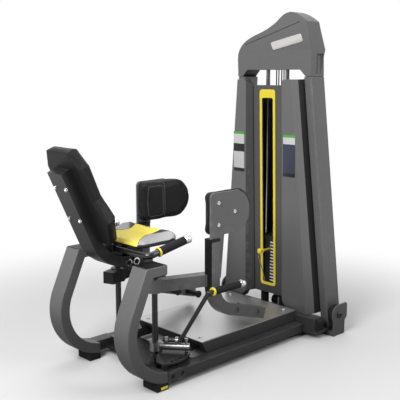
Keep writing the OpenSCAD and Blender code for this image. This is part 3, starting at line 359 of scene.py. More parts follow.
def breakEdges(shape, width, sharper, segments):  # flat faces made one, then their edges rounded
    bmesh.ops.dissolve_limit(shape, angle_limit=math.radians(0.6), verts=shape.verts, edges=shape.edges)
    ridges = [e for e in shape.edges if len(e.link_faces) == 2 and e.calc_face_angle(0) > math.radians(sharper)]
    bmesh.ops.bevel(shape, geom=ridges, offset=width, offset_type="OFFSET", affect="EDGES", segments=segments,
                    profile=0.5, material=-1, clamp_overlap=True)


def bevelAll(shape, width):
    bmesh.ops.bevel(shape, geom=shape.edges[:], offset=width, affect="EDGES", segments=2, profile=0.5, material=-1)


def softEdged(node, width, coat, slot, dark=None, cuts=(), trim=None):
    shape = mergedCopy(node)
    if trim:  # what lies behind this x falls away
        bmesh.ops.bisect_plane(shape, geom=wholeOf(shape), plane_co=(trim, 0, 0), plane_no=(-1, 0, 0),
                               clear_outer=True)
        bmesh.ops.holes_fill(shape, edges=[e for e in shape.edges if e.is_boundary])
        bmesh.ops.recalc_face_normals(shape, faces=shape.faces)
    breakEdges(shape, width, 28, 3)
    for spot, normal in cuts:
        bmesh.ops.bisect_plane(shape, geom=wholeOf(shape), plane_co=spot, plane_no=normal)
    if dark:  # 0 the coat, 1 black, 2 shaded
        shape.normal_update()
        for face in shape.faces:
            face.material_index = int(dark(face.calc_center_median(), face.normal))
        coat = [coat, "plasticBlack", "frameShade"]
    piece = newPiece(node + ".soft", shape, coat, bodyOf[node], (node,), smooth=32)
    piece.modifiers.new("evenNormals", "WEIGHTED_NORMAL").keep_sharp = True


def along(a, b):  # a frame with its z axis from a to b
    a, b = Vector(a), Vector(b)
    return Matrix.Translation(a) @ (b - a).to_track_quat("Z", "Y").to_matrix().to_4x4()


def spun(name, outline, place, coat, body, standsFor=(), steps=40):
    # outline: (radius, height) millimetres, from axis to axis
    shape = bmesh.new()
    line = [shape.verts.new((r / 1000, 0, h / 1000)) for r, h in outline]
    edges = [shape.edges.new(pair) for pair in zip(line, line[1:])]
    bmesh.ops.spin(shape, geom=line + edges, cent=(0, 0, 0), axis=(0, 0, 1), angle=math.tau, steps=steps,
                   use_merge=True)
    bmesh.ops.remove_doubles(shape, verts=shape.verts, dist=0.00001)
    bmesh.ops.recalc_face_normals(shape, faces=shape.faces)
    bmesh.ops.transform(shape, matrix=place, verts=shape.verts)
    return newPiece(name, shape, coat, body, standsFor)


def newCurve(name, radius, sides):
    line = bpy.data.curves.new(name, "CURVE")
    line.dimensions = "3D"
    line.bevel_depth = radius
    line.bevel_resolution = sides
    line.use_fill_caps = True
    return line


def addSpline(line, kind, route):
    spline = line.splines.new(kind)
    spline.points.add(len(route) - 1)
    for point, place in zip(spline.points, route):
        point.co = (*place, 1)
    return spline


def tubeMesh(name, routes, radius, closed=False, sides=3):
    line = newCurve(name, radius, sides)
    line.resolution_u = 6
    for route in routes:
        spline = addSpline(line, "NURBS", route)
        spline.order_u = 3
        spline.use_endpoint_u = not closed
        spline.use_cyclic_u = closed
    holder = bpy.data.objects.new(name, line)
    scene.collection.objects.link(holder)
    mesh = bpy.data.meshes.new_from_object(holder.evaluated_get(bpy.context.evaluated_depsgraph_get()))
    mesh.name = name
    bpy.data.objects.remove(holder)
    return mesh


# metal and moulded nodes, with their edges broken as a press, a mould or a grinder leaves them

softEdges = {
    "legs": (0.0045, "frameGrey", "frame_grey"), "splices": (0.0015, "frameShade", "frame_grey"),
    "base_beams": (0.003, "frameShade", "frame_grey"), "tower_base": (0.003, "frameShade", "frame_grey"),
    "posts": (0.005, "frameGrey", "frame_grey"), "arm_right": (0.003, "frameGrey", "frame_grey"),
    "arm_left": (0.003, "frameGrey", "frame_grey"), "pad_disc_right": (0.0012, "frameGrey", "frame_grey"),
    "pad_disc_left": (0.0012, "frameGrey", "frame_grey"), "platform_box": (0.003, "frameShade", "frame_dark"),
    "tower_cap": (0.006, "shellGrey", "shell_grey"), "side_panels": (0.004, "shellGrey", "shell_grey"),
    "slot_panel": (0.003, "shellShade", "dark_plastic"), "slot_frame": (0.0022, "yellowTrim", "trim_yellow"),
    "rear_panel": (0.002, "shellDark", "dark_plastic"), "cross_head": (0.003, "frameDark", "frame_dark"),
    "seat_frame": (0.010, "frameDark", "frame_dark"), "seat_mount": (0.002, "frameDark", "frame_dark"),
    "base_plate": (0.0015, "plasticBlack", "frame_dark"), "index_plate": (0.001, "frameDark", "frame_dark"),
    "platform_top": (0.0008, "treadMetal", "tread_metal"), "leg_feet": (0.003, "rubberBlack", "rubber_black"),
    "beam_ends": (0.0012, "rubberBlack", "rubber_black"), "tower_feet": (0.002, "frameGrey", "frame_grey"),
    "stack_rest": (0.0014, "castIron", "stack_iron"), "stack_lifted": (0.0014, "castIron", "stack_iron"),
    "head_plate": (0.0018, "castIron", "stack_iron"), "stack_buffers": (0.002, "rubberBlack", "rubber_black"),
    "latch_arm": (0.0012, "drawnSteel", "chrome"), "pulley_brackets": (0.0008, "drawnSteel", "steel"),
    "wheel_right": (0.0012, "rubberBlack", "rubber_black"), "wheel_left": (0.0012, "rubberBlack", "rubber_black"),
    "top_pulley": (0.0008, "plasticBlack", "dark_plastic"), "low_pulley": (0.0008, "plasticBlack", "dark_plastic"),
}


def armShade(sign):  # painted shade in black on the stub's inner faces; black on the stub's end face, the upright bar's rear face and cap, and the pegs
    stub, bar = fromLeg(175, 0, 0).x, fromLeg(303, 0, 0).x

    def dark(place, normal):
        if place.x < stub:
            return normal.y * sign < -0.6 or normal.x < -0.9
        peg = place.z < 0.30 and abs(place.y) < 0.196
        return peg or place.x < bar and normal.x < -0.9 or 0.542 < place.z < 0.56
    return dark


def panelShade(place, normal):  # painted shadow in black on the flange back to the post, painted shade on the far bevel beside the slot
    if abs(normal.y) > 0.93 and abs(place.y) > 0.15:
        return 1
    return 2 if 0.08 < place.y < 0.125 and normal.y < -0.4 else 0


def capShade(place, normal):  # painted shade: black under the arch, darker along the front corners and in the front half of the side scoops
    if normal.z < -0.5 or abs(place.y) < 0.2 and place.z < 1.245 and normal.x > -0.5:
        return 1
    if normal.x < -0.3 and abs(normal.y) > 0.3 and abs(place.y) > 0.15 and abs(normal.z) < 0.75:
        return 2
    scoop = abs(place.y) > 0.2 and 1.218 < place.z < 1.313 and abs(normal.z) < 0.3
    return 2 if scoop and normal.x > 0.1 and abs(normal.y) > 0.6 else 0


armCuts = [(fromLeg(175, 0, 0), (1, 0, 0)), ((0, 0, 0.542), (0, 0, 1))]
darkFaces = {"arm_left": (armShade(1), armCuts), "arm_right": (armShade(-1), armCuts),
             "legs": (lambda place, normal: normal.z > 0.8 and place.z > 0.49, ()),  # painted shadow in black on the leg tops under the seat
             "side_panels": (panelShade, ()), "tower_cap": (capShade, ())}
trims = {"base_plate": fromLeg(84, 0, 0).x}
for node, (width, coat, slot) in softEdges.items():
    softEdged(node, width, coat, slot, *darkFaces.get(node, ()), trim=trims.get(node))
print("edges softened:", len(softEdges))

plainNodes = {
    "splice_bolts": "frameDark", "chrome_bolts": "chrome", "frame_collars": "chrome", "handlebar": "glossDark",
    "guide_rods": "rodSteel", "wheel_bolts": "glossDark", "shaft_right": "glossDark", "shaft_left": "glossDark",
    "pad_bolts_right": "chrome", "pad_bolts_left": "chrome", "selector_stem": "drawnSteel",
    "lever_tube": "glossDark", "latch_pin": "drawnSteel", "selector_pin": "yellowTrim",
}
for node, coat in plainNodes.items():
    nodes[node].data.materials.clear()
    nodes[node].data.materials.append(finish[coat])
print("finishes on carried nodes:", len(plainNodes))

# painted shadow: black strips filling the gaps between panels and posts

gapShade = {"low": (971.7, 980.0, 284.9, 290.2, 122.6), "high": (940.2, 948.5, 183.6, 189.4, 1182.6),
        "edge": 0.001}
for side, sign in (("right", -1), ("left", 1)):
    shape = bmesh.new()
    bmesh.ops.create_cube(shape, size=1)
    for vert in shape.verts:
        x0, x1, y0, y1, z = gapShade["high" if vert.co.z > 0 else "low"]
        vert.co = fromLeg(x1 if vert.co.x > 0 else x0, sign * (y1 if vert.co.y > 0 else y0), z)
    bmesh.ops.recalc_face_normals(shape, faces=shape.faces)
    bevelAll(shape, gapShade["edge"])
    newPiece("panelGapShade." + side, shape, "rubberBlack", "frame")

# dark plugs in the bright collars

plug = {"xs": (20, 58), "z": 474, "face": 54.2, "radius": 10.6, "proud": 1.2, "soft": 0.6}
plugOutline = [(0, 0), (plug["radius"], 0), (plug["radius"], plug["proud"] - plug["soft"]),
               (plug["radius"] - plug["soft"], plug["proud"]), (0, plug["proud"] + 0.4)]
for side, sign in (("right", -1), ("left", 1)):
    for i, x in enumerate(plug["xs"]):
        place = along(fromLeg(x, sign * plug["face"], plug["z"]), fromLeg(x, sign * 900, plug["z"]))
        spun(f"collarPlug.{side}.{i}", plugOutline, place, "plasticBlack", "frame", steps=28)
print("gapShades and plugs done")

# painted shadow: a thin black tube on the line where the fin rises behind the brow of the cap

finFoot = {"x": 915.5, "z": 1403, "rise": 15.0, "lean": -18.0, "from": -195, "to": 175, "step": 6,
           "radius": 0.0013}
lean, rise = math.radians(finFoot["lean"]), math.radians(finFoot["rise"])
run = Vector((-math.sin(rise) * math.sin(lean), math.cos(rise), -math.sin(rise) * math.cos(lean)))
cap = BVHTree.FromObject(bpy.data.objects["tower_cap.soft"], bpy.context.evaluated_depsgraph_get())
route = []
for t in range(finFoot["from"], finFoot["to"] + 1, finFoot["step"]):
    spot = fromLeg(finFoot["x"], 0, finFoot["z"]) + run * t / 1000
    hit = cap.ray_cast(spot - Vector((0.2, 0, 0)), Vector((1, 0, 0)))[0]
    if hit:
        route.append(hit)
addPiece("capCreaseShadow", tubeMesh("capCreaseShadow", [route], finFoot["radius"]), "plasticBlack", "frame")
print("crease on the cap:", len(route))

# hand grips, their yellow rings and bright ends

handle = {"x": -25, "z": 538, "rise": -10.8, "gap": 232, "from": 48, "grip": 138, "radius": 17, "ring": 7,
          "bore": 14.5, "end": (18, 27)}
lever = {"x": 262, "y": -285, "z": 353, "grip": 158, "radius": 15, "ring": 7, "bore": 10, "end": (16.5, 28)}
handleFrame = Matrix.Translation(fromLeg(handle["x"], 0, handle["z"])) @ Matrix.Rotation(
    math.radians(handle["rise"]), 4, "Y")


def gripOutline(grip):
    radius, ring, length, bore = grip["radius"], grip["ring"], grip["grip"], grip["bore"]
    ribs = [(radius - 0.7 * (i % 2), ring + 4 + i * 1.6) for i in range(5)]
    tail = [(radius - 0.7 * (i % 2), length - 10 + i * 1.6) for i in range(5)]
    return [(bore, ring), (radius - 1.2, ring), (radius, ring + 1.5), *ribs, *tail, (radius - 0.4, length - 1.2),
            (radius - 1.8, length), (bore, length)]


def ringOutline(grip):
    radius, ring, bore = grip["radius"], grip["ring"], grip["bore"]
    return [(bore, 0), (radius + 1.3, 0), (radius + 2.3, 1.0), (radius + 2.5, ring / 2), (radius + 2.3, ring - 1),
            (radius + 1.3, ring), (bore, ring)]


def endOutline(radius, length):  # two stepped rims and a dished face
    return [(0, 0), (radius - 2.5, 0), (radius - 1.6, 0.9), (radius - 1.6, 6), (radius - 2.6, 7.2),
            (radius - 0.8, 9.2), (radius, 11), (radius, length - 4), (radius - 0.6, length - 2),
            (radius - 2.0, length - 0.6), (radius - 4.0, length), (radius - 6.5, length - 1.2), (0, length - 4.2)]


def gripSet(grip, place, body, names, standsFor):  # names: grip, ring, end
    spun(names[0], gripOutline(grip), place, "gripFoam", body, standsFor[:1])
    spun(names[1], ringOutline(grip), place, "yellowTrim", body)
    place = place @ Matrix.Translation((0, 0, grip["grip"] / 1000))
    spun(names[2], endOutline(*grip["end"]), place, "chrome", body, standsFor[1:])


for side, sign in (("right", -1), ("left", 1)):
    start = handleFrame @ Vector((handle["from"] / 1000, sign * handle["gap"] / 1000, 0))
    far = handleFrame @ Vector((1, sign * handle["gap"] / 1000, 0))
    gripSet(handle, along(start, far), "frame", ["handGrip." + side, "gripRing." + side, "gripEnd." + side],
            ("handle_grips", "handle_ends"))
place = along(fromLeg(lever["x"], lever["y"], lever["z"]), fromLeg(900, lever["y"], lever["z"]))
gripSet(lever, place, "lever", ["leverGrip", "leverRing", "leverEnd"], ("lever_grip", "lever_end"))
print("grips done")

# cushions: a drawn-in base, a full wall, a rounded rim, then a cover blown up over it


def padShape(outline, steps, drawIn=0.004):
    # outline: (a, b) metres; steps: (inset, rise) of each ring above the base
    shape = bmesh.new()
    base = shape.faces.new([shape.verts.new((a, b, 0)) for a, b in outline])
    base.normal_update()
    if base.normal.z < 0:
        bmesh.ops.reverse_faces(shape, faces=[base])
    top = base
    for inset, rise in steps:
        if inset:
            bmesh.ops.inset_region(shape, faces=[top], thickness=inset, depth=0, use_even_offset=True)
        else:
            made = bmesh.ops.extrude_face_region(shape, geom=[top])["geom"]
            if top is not base:
                shape.faces.remove(top)
            top = next(f for f in made if isinstance(f, bmesh.types.BMFace))
        bmesh.ops.translate(shape, verts=top.verts, vec=(0, 0, rise))
    for vert in shape.verts:
        if abs(vert.co.z) < 1e-6:
            vert.co.xy *= 1 - drawIn / max(vert.co.xy.length, 0.02)
    bmesh.ops.recalc_face_normals(shape, faces=shape.faces)
    return shape


def ringShape(rings):  # closed rings of (a, b, height) with equal counts, joined from the base to the crown
    shape = bmesh.new()
    loops = []
    for ring in rings:
        verts = [shape.verts.new(point) for point in ring]
        loops.append([shape.edges.new((verts[i - 1], verts[i])) for i in range(len(verts))])
        if ring in (rings[0], rings[-1]):
            shape.faces.new(verts)
    for low, high in zip(loops, loops[1:]):
        bmesh.ops.bridge_loops(shape, edges=low + high)
    bmesh.ops.recalc_face_normals(shape, faces=shape.faces)
    return shape


def rimSteps(rim):  # four steps round a quarter circle
    angles = [math.radians(22.5 * i) for i in range(5)]
    return [(rim * (math.cos(a) - math.cos(b)), rim * (math.sin(b) - math.sin(a)))
            for a, b in zip(angles, angles[1:])]


def blowUp(name, shape, place, pad, body, node, bend=None):  # pad: its voxel, swell, fill and calm
    bmesh.ops.transform(shape, matrix=place, verts=shape.verts)
    bmesh.ops.recalc_face_normals(shape, faces=shape.faces)
    mesh = bpy.data.meshes.new(name)
    shape.to_mesh(mesh)
    shape.free()
    cover = bpy.data.objects.new(name + ".cover", mesh)
    scene.collection.objects.link(cover)
    grid = cover.modifiers.new("grid", "REMESH")
    grid.mode = "VOXEL"
    grid.voxel_size = pad["voxel"]
    view = bpy.context.evaluated_depsgraph_get()
    cover.data = bpy.data.meshes.new_from_object(cover.evaluated_get(view))
    cover.modifiers.clear()
    inside = place.inverted()
    for vert in cover.data.vertices if bend else ():
        vert.co = place @ bend(inside @ vert.co)
    held = cover.vertex_groups.new(name="held")
    held.add([v.index for v in cover.data.vertices if (inside @ v.co).z < 0.006], 1.0, "ADD")
    start = [v.co.copy() for v in cover.data.vertices]
    cloth = cover.modifiers.new("cloth", "CLOTH")
    cloth.settings.use_pressure = True
    cloth.settings.uniform_pressure_force = 4
    cloth.settings.effector_weights.gravity = 0
    cloth.settings.vertex_group_mass = "held"
    frames = range(1, 21)
    cloth.point_cache.frame_start, cloth.point_cache.frame_end = frames[0], frames[-1]
    for step in frames:
        scene.frame_set(step)
    view = bpy.context.evaluated_depsgraph_get()
    blown = bpy.data.meshes.new_from_object(cover.evaluated_get(view))
    for vert, rest in zip(blown.vertices, start):
        move = vert.co - rest
        if move.length > pad["swell"]:
            vert.co = rest + move * (pad["swell"] / move.length)
    cover.modifiers.clear()
    cover.data = blown
    scene.frame_set(1)
    shape = bmesh.new()
    shape.from_mesh(cover.data)
    bpy.data.objects.remove(cover)
    for step in range(pad["calm"]):
        bmesh.ops.smooth_vert(shape, verts=shape.verts, factor=0.5, use_axis_x=True, use_axis_y=True,
                              use_axis_z=True)
    piece = newPiece(name, shape, "vinylBlack", body, (node,), smooth=180)
    finer = piece.modifiers.new("finer", "SUBSURF")
    finer.levels = finer.render_levels = 1
    return piece


def roundedOutline(corners, radii, steps):
    line = []
    for i, corner in enumerate(corners):
        here = Vector(corner)
        before = (Vector(corners[i - 1]) - here).normalized()
        after = (Vector(corners[(i + 1) % len(corners)]) - here).normalized()
        half = before.angle(after) / 2
        centre = here + (before + after).normalized() * radii[i] / math.sin(half)
        first = here + before * radii[i] / math.tan(half) - centre
        last = here + after * radii[i] / math.tan(half) - centre
        sweep = first.angle_signed(last)
        for k in range(steps + 1):
            line.append(tuple(centre + Matrix.Rotation(-sweep * k / steps, 2) @ first))
    return line


def seamOn(name, piece, place, lines, radius, closed=False):  # a sewn line laid on a cushion
    surface = BVHTree.FromObject(piece, bpy.context.evaluated_depsgraph_get())
    down = -(place.to_3x3() @ Vector((0, 0, 1)))
    routes = []
    for line in lines:
        route = []
        for a, b in line:
            hit, normal = surface.ray_cast(place @ Vector((a, b, 0.2)), down)[:2]
            if hit:
                route.append(hit + normal * radius * 0.15)
        if len(route) > 3:
            routes.append(route)
    addPiece(name, tubeMesh(name, routes, radius, closed, 2), "threadGrey", bodyOf[piece["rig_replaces"][0]],
             smooth=60)


def lineBetween(a, b, steps=24):
    return [(a[0] + (b[0] - a[0]) * i / steps, a[1] + (b[1] - a[1]) * i / steps) for i in range(steps + 1)]


def denseRing(ring, steps):
    return [p for i in range(len(ring)) for p in lineBetween(ring[i], ring[(i + 1) % len(ring)], steps)[:-1]]


thigh = {"x": 439, "z": 655, "base": 232, "long": 276, "high": 180, "thick": 52, "corner": 26, "rim": 15,
         "crease": -26, "drop": 9, "tuck": 36, "seamIn": 22, "seamGap": 10, "seamRound": 14, "creaseIn": 12,
         "thread": 0.0018, "voxel": 0.0045, "swell": 0.005, "calm": 3, "fill": 0.9}
for side, sign in (("left", 1), ("right", -1)):
    place = Matrix(((1, 0, 0), (0, 0, -sign), (0, sign, 0))).to_4x4()
    place = Matrix.Translation(fromLeg(thigh["x"], sign * thigh["base"], thigh["z"])) @ place
    a, b, rim = thigh["long"] / 2000, thigh["high"] / 2000, thigh["rim"] / 1000
    corner = thigh["corner"] / 1000
    outline = roundedOutline([(-a, -b), (a, -b), (a, b), (-a, b)], [corner, b - 0.001, b - 0.001, corner], 10)
    thick = thigh["thick"] / 1000
    wall = (thick - rim) / 4
    shape = padShape(outline, [(0, wall)] * 4 + rimSteps(rim))
    for vert in shape.verts:  # the round end tucks in towards its plate
        tuck = thigh["tuck"] / 1000 * max(0, 1 - vert.co.z / (4 * wall)) ** 1.3 * max(0, vert.co.x / a)
        vert.co.xy *= 1 - tuck / max(vert.co.xy.length, 0.05)
    crease = thigh["crease"] / 1000
    bmesh.ops.bisect_plane(shape, geom=wholeOf(shape), dist=1e-5, plane_co=(crease, 0, 0), plane_no=(1, 0, 0))
    for vert in shape.verts:  # the square end falls away from the crease
        if vert.co.x < crease and vert.co.z > 0.01:
            vert.co.z -= thigh["drop"] / 1000 * (crease - vert.co.x) / (crease + a) * vert.co.z / thick
    pad = blowUp("thighPad." + side, shape, place, thigh, side + "_arm", "thigh_pad_" + side)
    end = b - thigh["creaseIn"] / 1000
    seamOn("thighCrease." + side, pad, place, [lineBetween((crease, -end), (crease, end))], thigh["thread"])
    inset = thigh["seamIn"] / 1000
    rear, front, end = inset - a, crease - thigh["seamGap"] / 1000, b - inset
    box = roundedOutline([(rear, -end), (front, -end), (front, end), (rear, end)],
                         [thigh["seamRound"] / 1000] * 4, 5)
    seamOn("thighSeam." + side, pad, place, [denseRing(box, 4)], thigh["thread"], closed=True)
print("thigh cushions done")

seat = {"x": 79, "z": 556, "long": 218, "wide": 362, "thick": 39, "rim": 12, "corners": (40, 46, 46, 40),
        "dish": 21, "rollAt": 118, "rollOver": 80, "waist": 72, "waistAt": 125, "waistBack": 37, "waistSoft": 12,
        "gain": 0.4, "flare": 0.0067, "border": 174, "lid": 184, "shadeWedgeAt": (119, 68), "shadeWedgeSlope": 1.25,
        "seamFrom": -22, "flank": (-62, 29), "yellowOver": 0.5640, "greyOver": 0.5690,
        "voxel": 0.005, "swell": 0.005, "calm": 3, "fill": 0.85}
place = Matrix.Translation(fromLeg(seat["x"], 0, seat["z"]))
a, b, rim = seat["long"] / 2000, seat["wide"] / 2000, seat["rim"] / 1000
outline = roundedOutline([(-a, -b), (a, -b), (a, b), (-a, b)], [r / 1000 for r in seat["corners"]], 8)
shape = padShape(outline, [(0, seat["thick"] / 1000 - rim), *rimSteps(rim)])


def dished(spot):  # low behind a raised front roll
    share = min(1, max(0, (seat["rollAt"] / 1000 - spot.x) / (seat["rollOver"] / 1000)))
    share *= share * (3 - 2 * share)
    spot.z *= 1 - share * seat["dish"] / seat["thick"]
    return spot


seatPad = blowUp("seatCushion", shape, place, seat, "frame", "seat_pad", dished)


def waistHalf(x):  # half the width of the yellow field, x in millimetres from the leg line
    back = seat["waistAt"] - x - seat["waistBack"]
    rear = seat["gain"] * (back + math.hypot(back, seat["waistSoft"]))
    return seat["waist"] + rear + seat["flare"] * max(0, x - seat["waistAt"]) ** 2


def seatCover():  # yellow field, narrow in front and full behind, grey flanks with a painted shade wedge in black between them and the yellow at the front, black border
    cover, tree, shader = newLook("seatCover")
    spot = splitPlace(tree, objectPlace(tree))
    x = calc(tree, "MULTIPLY_ADD", spot["X"], 1000.0, midX * 1000)
    side = calc(tree, "MULTIPLY", calc(tree, "ABSOLUTE", spot["Y"]), 1000.0)
    back = calc(tree, "SUBTRACT", seat["waistAt"] - seat["waistBack"], x)  # the same width as waistHalf gives
    root = calc(tree, "SQRT", calc(tree, "MULTIPLY_ADD", back, back, seat["waistSoft"] ** 2))
    front = calc(tree, "MAXIMUM", calc(tree, "SUBTRACT", x, seat["waistAt"]), 0.0)
    half = calc(tree, "MULTIPLY_ADD", calc(tree, "ADD", back, root), seat["gain"], seat["waist"])
    half = calc(tree, "MULTIPLY_ADD", calc(tree, "MULTIPLY", front, front), seat["flare"], half)
    lid = ramp(tree, calc(tree, "SUBTRACT", seat["lid"], x), -0.5, 0.5)
    inside = ramp(tree, calc(tree, "SUBTRACT", seat["border"], side), -0.5, 0.5)
    field = calc(tree, "MULTIPLY", lid, inside)
    yellow = ramp(tree, calc(tree, "SUBTRACT", half, side), -0.5, 0.5)
    above = ramp(tree, spot["Z"], seat["yellowOver"], seat["yellowOver"] + 0.0015)
    yellow = calc(tree, "MULTIPLY", calc(tree, "MULTIPLY", yellow, above), field)
    # painted shade: black wedge between the yellow and the grey towards the front
    shadeWedge = calc(tree, "SUBTRACT", x, seat["shadeWedgeAt"][0])
    shadeWedge = calc(tree, "MULTIPLY_ADD", shadeWedge, seat["shadeWedgeSlope"], seat["shadeWedgeAt"][1])
    grey = ramp(tree, calc(tree, "SUBTRACT", side, shadeWedge), -14.0, 10.0)
    above = ramp(tree, spot["Z"], seat["greyOver"], seat["greyOver"] + 0.0020)
    grey = calc(tree, "MULTIPLY", calc(tree, "MULTIPLY", grey, above), field)
    tone = blendColor(tree, grey, (0.015, 0.015, 0.016), (0.42, 0.42, 0.425))
    tone = blendColor(tree, yellow, tone, (1.0, 0.83, 0.10))
    layer = laySkin(tree, shader, "cover", {"Spread": 0.08, "Blotch": 9.0, "Grain": 420.0, "Rough": 0.44,
                                            "Rough Spread": 0.12}, 0.14)
    tree.links.new(tone, layer.inputs["Color"])
    shader.inputs["Specular IOR Level"].default_value = 0.26
    return cover


seatPad.data.materials.clear()
seatPad.data.materials.append(seatCover())
waists, flanks = [], []
for sign in (1, -1):
    waists.append([((x - seat["x"]) / 1000, sign * waistHalf(x) / 1000)
                   for x in range(seat["seamFrom"], seat["lid"], 6)])
    flanks.append(lineBetween(*[(x / 1000, sign * seat["border"] / 1000) for x in seat["flank"]]))
seamOn("seatSeams", seatPad, place, waists, 0.0009)
seamOn("seatBorder", seatPad, place, flanks, 0.0010)
print("seat cushion done")

# rows: half width and height of the back cushion's corners, on its wall and on its face

rest = {"lean": 24.75, "front": 146.57, "mid": 762, "thick": 58, "wall": 40, "soft": 3, "round": 6,
        "rows": [(94, 559), (140, 662), (104, 755), (108, 892), (69, 963)],
        "face": [(78, 574), (122, 666), (90, 756), (94, 883), (58, 950)],
        "voxel": 0.0040, "swell": 0.003, "calm": 1, "fill": 0.85}
place = (Matrix.Translation(fromLeg(0, 0, 0)) @ Matrix.Rotation(math.radians(-rest["lean"]), 4, "Y")
         @ Matrix.Translation((rest["front"] / 1000, 0, rest["mid"] / 1000))
         @ Matrix(((0, 0, 1), (1, 0, 0), (0, 1, 0))).to_4x4())


def restRing(rows, height, scale=1.0):
    half = [(w * scale / 1000, (u - rest["mid"]) * scale / 1000) for w, u in rows]
    corners = half + [(-w, u) for w, u in reversed(half)]
    line = roundedOutline(corners, [rest["round"] * scale / 1000] * len(corners), 3)
    return [(a, b, height / 1000) for a, b in line]


shape = ringShape([restRing(rest["rows"], 0, 0.98), restRing(rest["rows"], rest["soft"]),
                   restRing(rest["rows"], rest["wall"]), restRing(rest["face"], rest["thick"] - rest["soft"]),
                   restRing(rest["face"], rest["thick"], 0.8)])
backPad = blowUp("backCushion", shape, place, rest, "frame", "back_pad")
edge = [(a, b) for a, b, height in restRing(rest["face"], 0)]
seamOn("backSeam.face", backPad, place, [denseRing(edge, 5)], 0.0012, closed=True)
print("back cushion done")

# cables

cable = {"radius": 0.003, "x": 1001, "y": 7, "low": 100, "high": 1290, "turn": 19, "cam": (115.9, 197.7, 72),
         "lead": 900, "top": 1287, "stem": 470, "lift": 70}


def turnAbout(z, first, last, steps):  # round a pulley
    angles = [math.radians(first + (last - first) * i / steps) for i in range(steps + 1)]
    return [(cable["x"] + cable["turn"] * math.cos(a), cable["y"], z + cable["turn"] * math.sin(a)) for a in angles]


hangX, liftLong = cable["x"] - cable["turn"], cable["top"] - cable["stem"]
cam, lead = cable["cam"], (cable["lead"], cable["y"], cable["low"] - cable["turn"])
driveRoutes = []
for sign in (1, -1):
    route = [[c + (d - c) * i / 12 for c, d in zip(cam, lead)] for i in range(13)]
    route += turnAbout(cable["low"], -90, 0, 6)
    route += [(cable["x"] + cable["turn"], cable["y"], cable["low"] + (cable["high"] - cable["low"]) * i / 8)
              for i in range(1, 8)]
    route += turnAbout(cable["high"], 0, 180, 12)
    route += [(hangX, cable["y"], cable["top"])]
    driveRoutes.append([fromLeg(x, sign * y, z) for x, y, z in route])
addPiece("driveCables", tubeMesh("driveCables", driveRoutes, cable["radius"]), "cableSheath", "frame",
         ("drive_cables",), smooth=60)
liftRoutes = [[fromLeg(hangX, sign * cable["y"], cable["top"] - liftLong * i / 12) for i in range(13)]
              for sign in (1, -1)]
liftCables = addPiece("liftCables", tubeMesh("liftCables", liftRoutes, cable["radius"]), "cableSheath",
                      "carriage", ("lift_cables",), smooth=60)
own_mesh(liftCables)

strap = {"radius": 0.0022, "route": [(866, 356.2), (862, 341), (872, 318), (886, 286), (899, 252), (910, 218)]}


def smoothRoute(points, steps):  # a Catmull-Rom line through the points
    ends = [2 * points[0] - points[1], *points, 2 * points[-1] - points[-2]]
    line = []
    for p, q, r, s in zip(ends, ends[1:], ends[2:], ends[3:]):
        for i in range(steps):
            t = i / steps
            line.append(0.5 * (2 * q + (r - p) * t + (2 * p - 5 * q + 4 * r - s) * t * t
                               + (3 * q - p - 3 * r + s) * t * t * t))
    return line + [points[-1]]


strapLine = smoothRoute([fromLeg(x, 0, z) for x, z in strap["route"]], 5)
strapCurve = newCurve("pinStrap", strap["radius"], 3)
addSpline(strapCurve, "POLY", strapLine)
strapCurve.materials.append(finish["strapTan"])
pinStrap = bpy.data.objects.new("pinStrap", strapCurve)
scene.collection.objects.link(pinStrap)
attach(pinStrap, "pin")
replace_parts(pinStrap, "pin_tether")

# small marks: yellow inlays on the feet, white ticks on the plates that are partly marks and partly painted
# highlights on the plate edges, bare plates

def addBox(shape, low, high):
    made = bmesh.ops.create_cube(shape, size=1)["verts"]
    bmesh.ops.scale(shape, vec=high - low, verts=made)
    bmesh.ops.translate(shape, vec=(low + high) / 2, verts=made)


inlay = {"x": (2, 36), "y": (265, 266.6), "z": (6, 17), "edge": 0.0004}
for side, sign in (("right", -1), ("left", 1)):
    ys = sorted(sign * y for y in inlay["y"])
    shape = bmesh.new()
    addBox(shape, *[fromLeg(*corner) for corner in zip(inlay["x"], ys, inlay["z"])])
    bevelAll(shape, inlay["edge"])
    newPiece("footInlay." + side, shape, "yellowTrim", "frame")

# white ticks on the plate fronts: partly marks, partly painted highlights of the plate edges
ticksAndHighlights = {"pitch": 16, "from": 170, "rest": 12, "lifted": 3, "x": (949.6, 950.2), "y": (-22, 2), "high": 7}
for name, first, count, body in (("plateTicksAndHighlights.rest", 0, ticksAndHighlights["rest"], "frame"),
                                 ("plateTicksAndHighlights.lifted", ticksAndHighlights["rest"], ticksAndHighlights["lifted"], "carriage")):
    shape = bmesh.new()
    for i in range(first, first + count):
        z = ticksAndHighlights["from"] + (i + 0.5) * ticksAndHighlights["pitch"]
        zs = (z - ticksAndHighlights["high"] / 2, z + ticksAndHighlights["high"] / 2)
        addBox(shape, *[fromLeg(*corner) for corner in zip(ticksAndHighlights["x"], ticksAndHighlights["y"], zs)])
    newPiece(name, shape, "markWhite", body)
print("marks done")


def zonedCard(name, zones, top, high):  # a bare placard in plain colour fields, zones as shares from the top
    card, tree, shader = newLook(name)
    share = calc(tree, "DIVIDE", calc(tree, "SUBTRACT", top, splitPlace(tree, objectPlace(tree))["Z"]), high)
    tone = zones[0][1]
    for start, color in zones[1:]:
        tone = blendColor(tree, ramp(tree, share, start - 0.004, start + 0.004), tone, color)
    layer = laySkin(tree, shader, "paint", {"Spread": 0.08, "Blotch": 20.0, "Grain": 1400.0, "Rough": 0.38,
                                            "Rough Spread": 0.1})
    tree.links.new(tone, layer.inputs["Color"])
    shader.inputs["Specular IOR Level"].default_value = 0.3
    return card


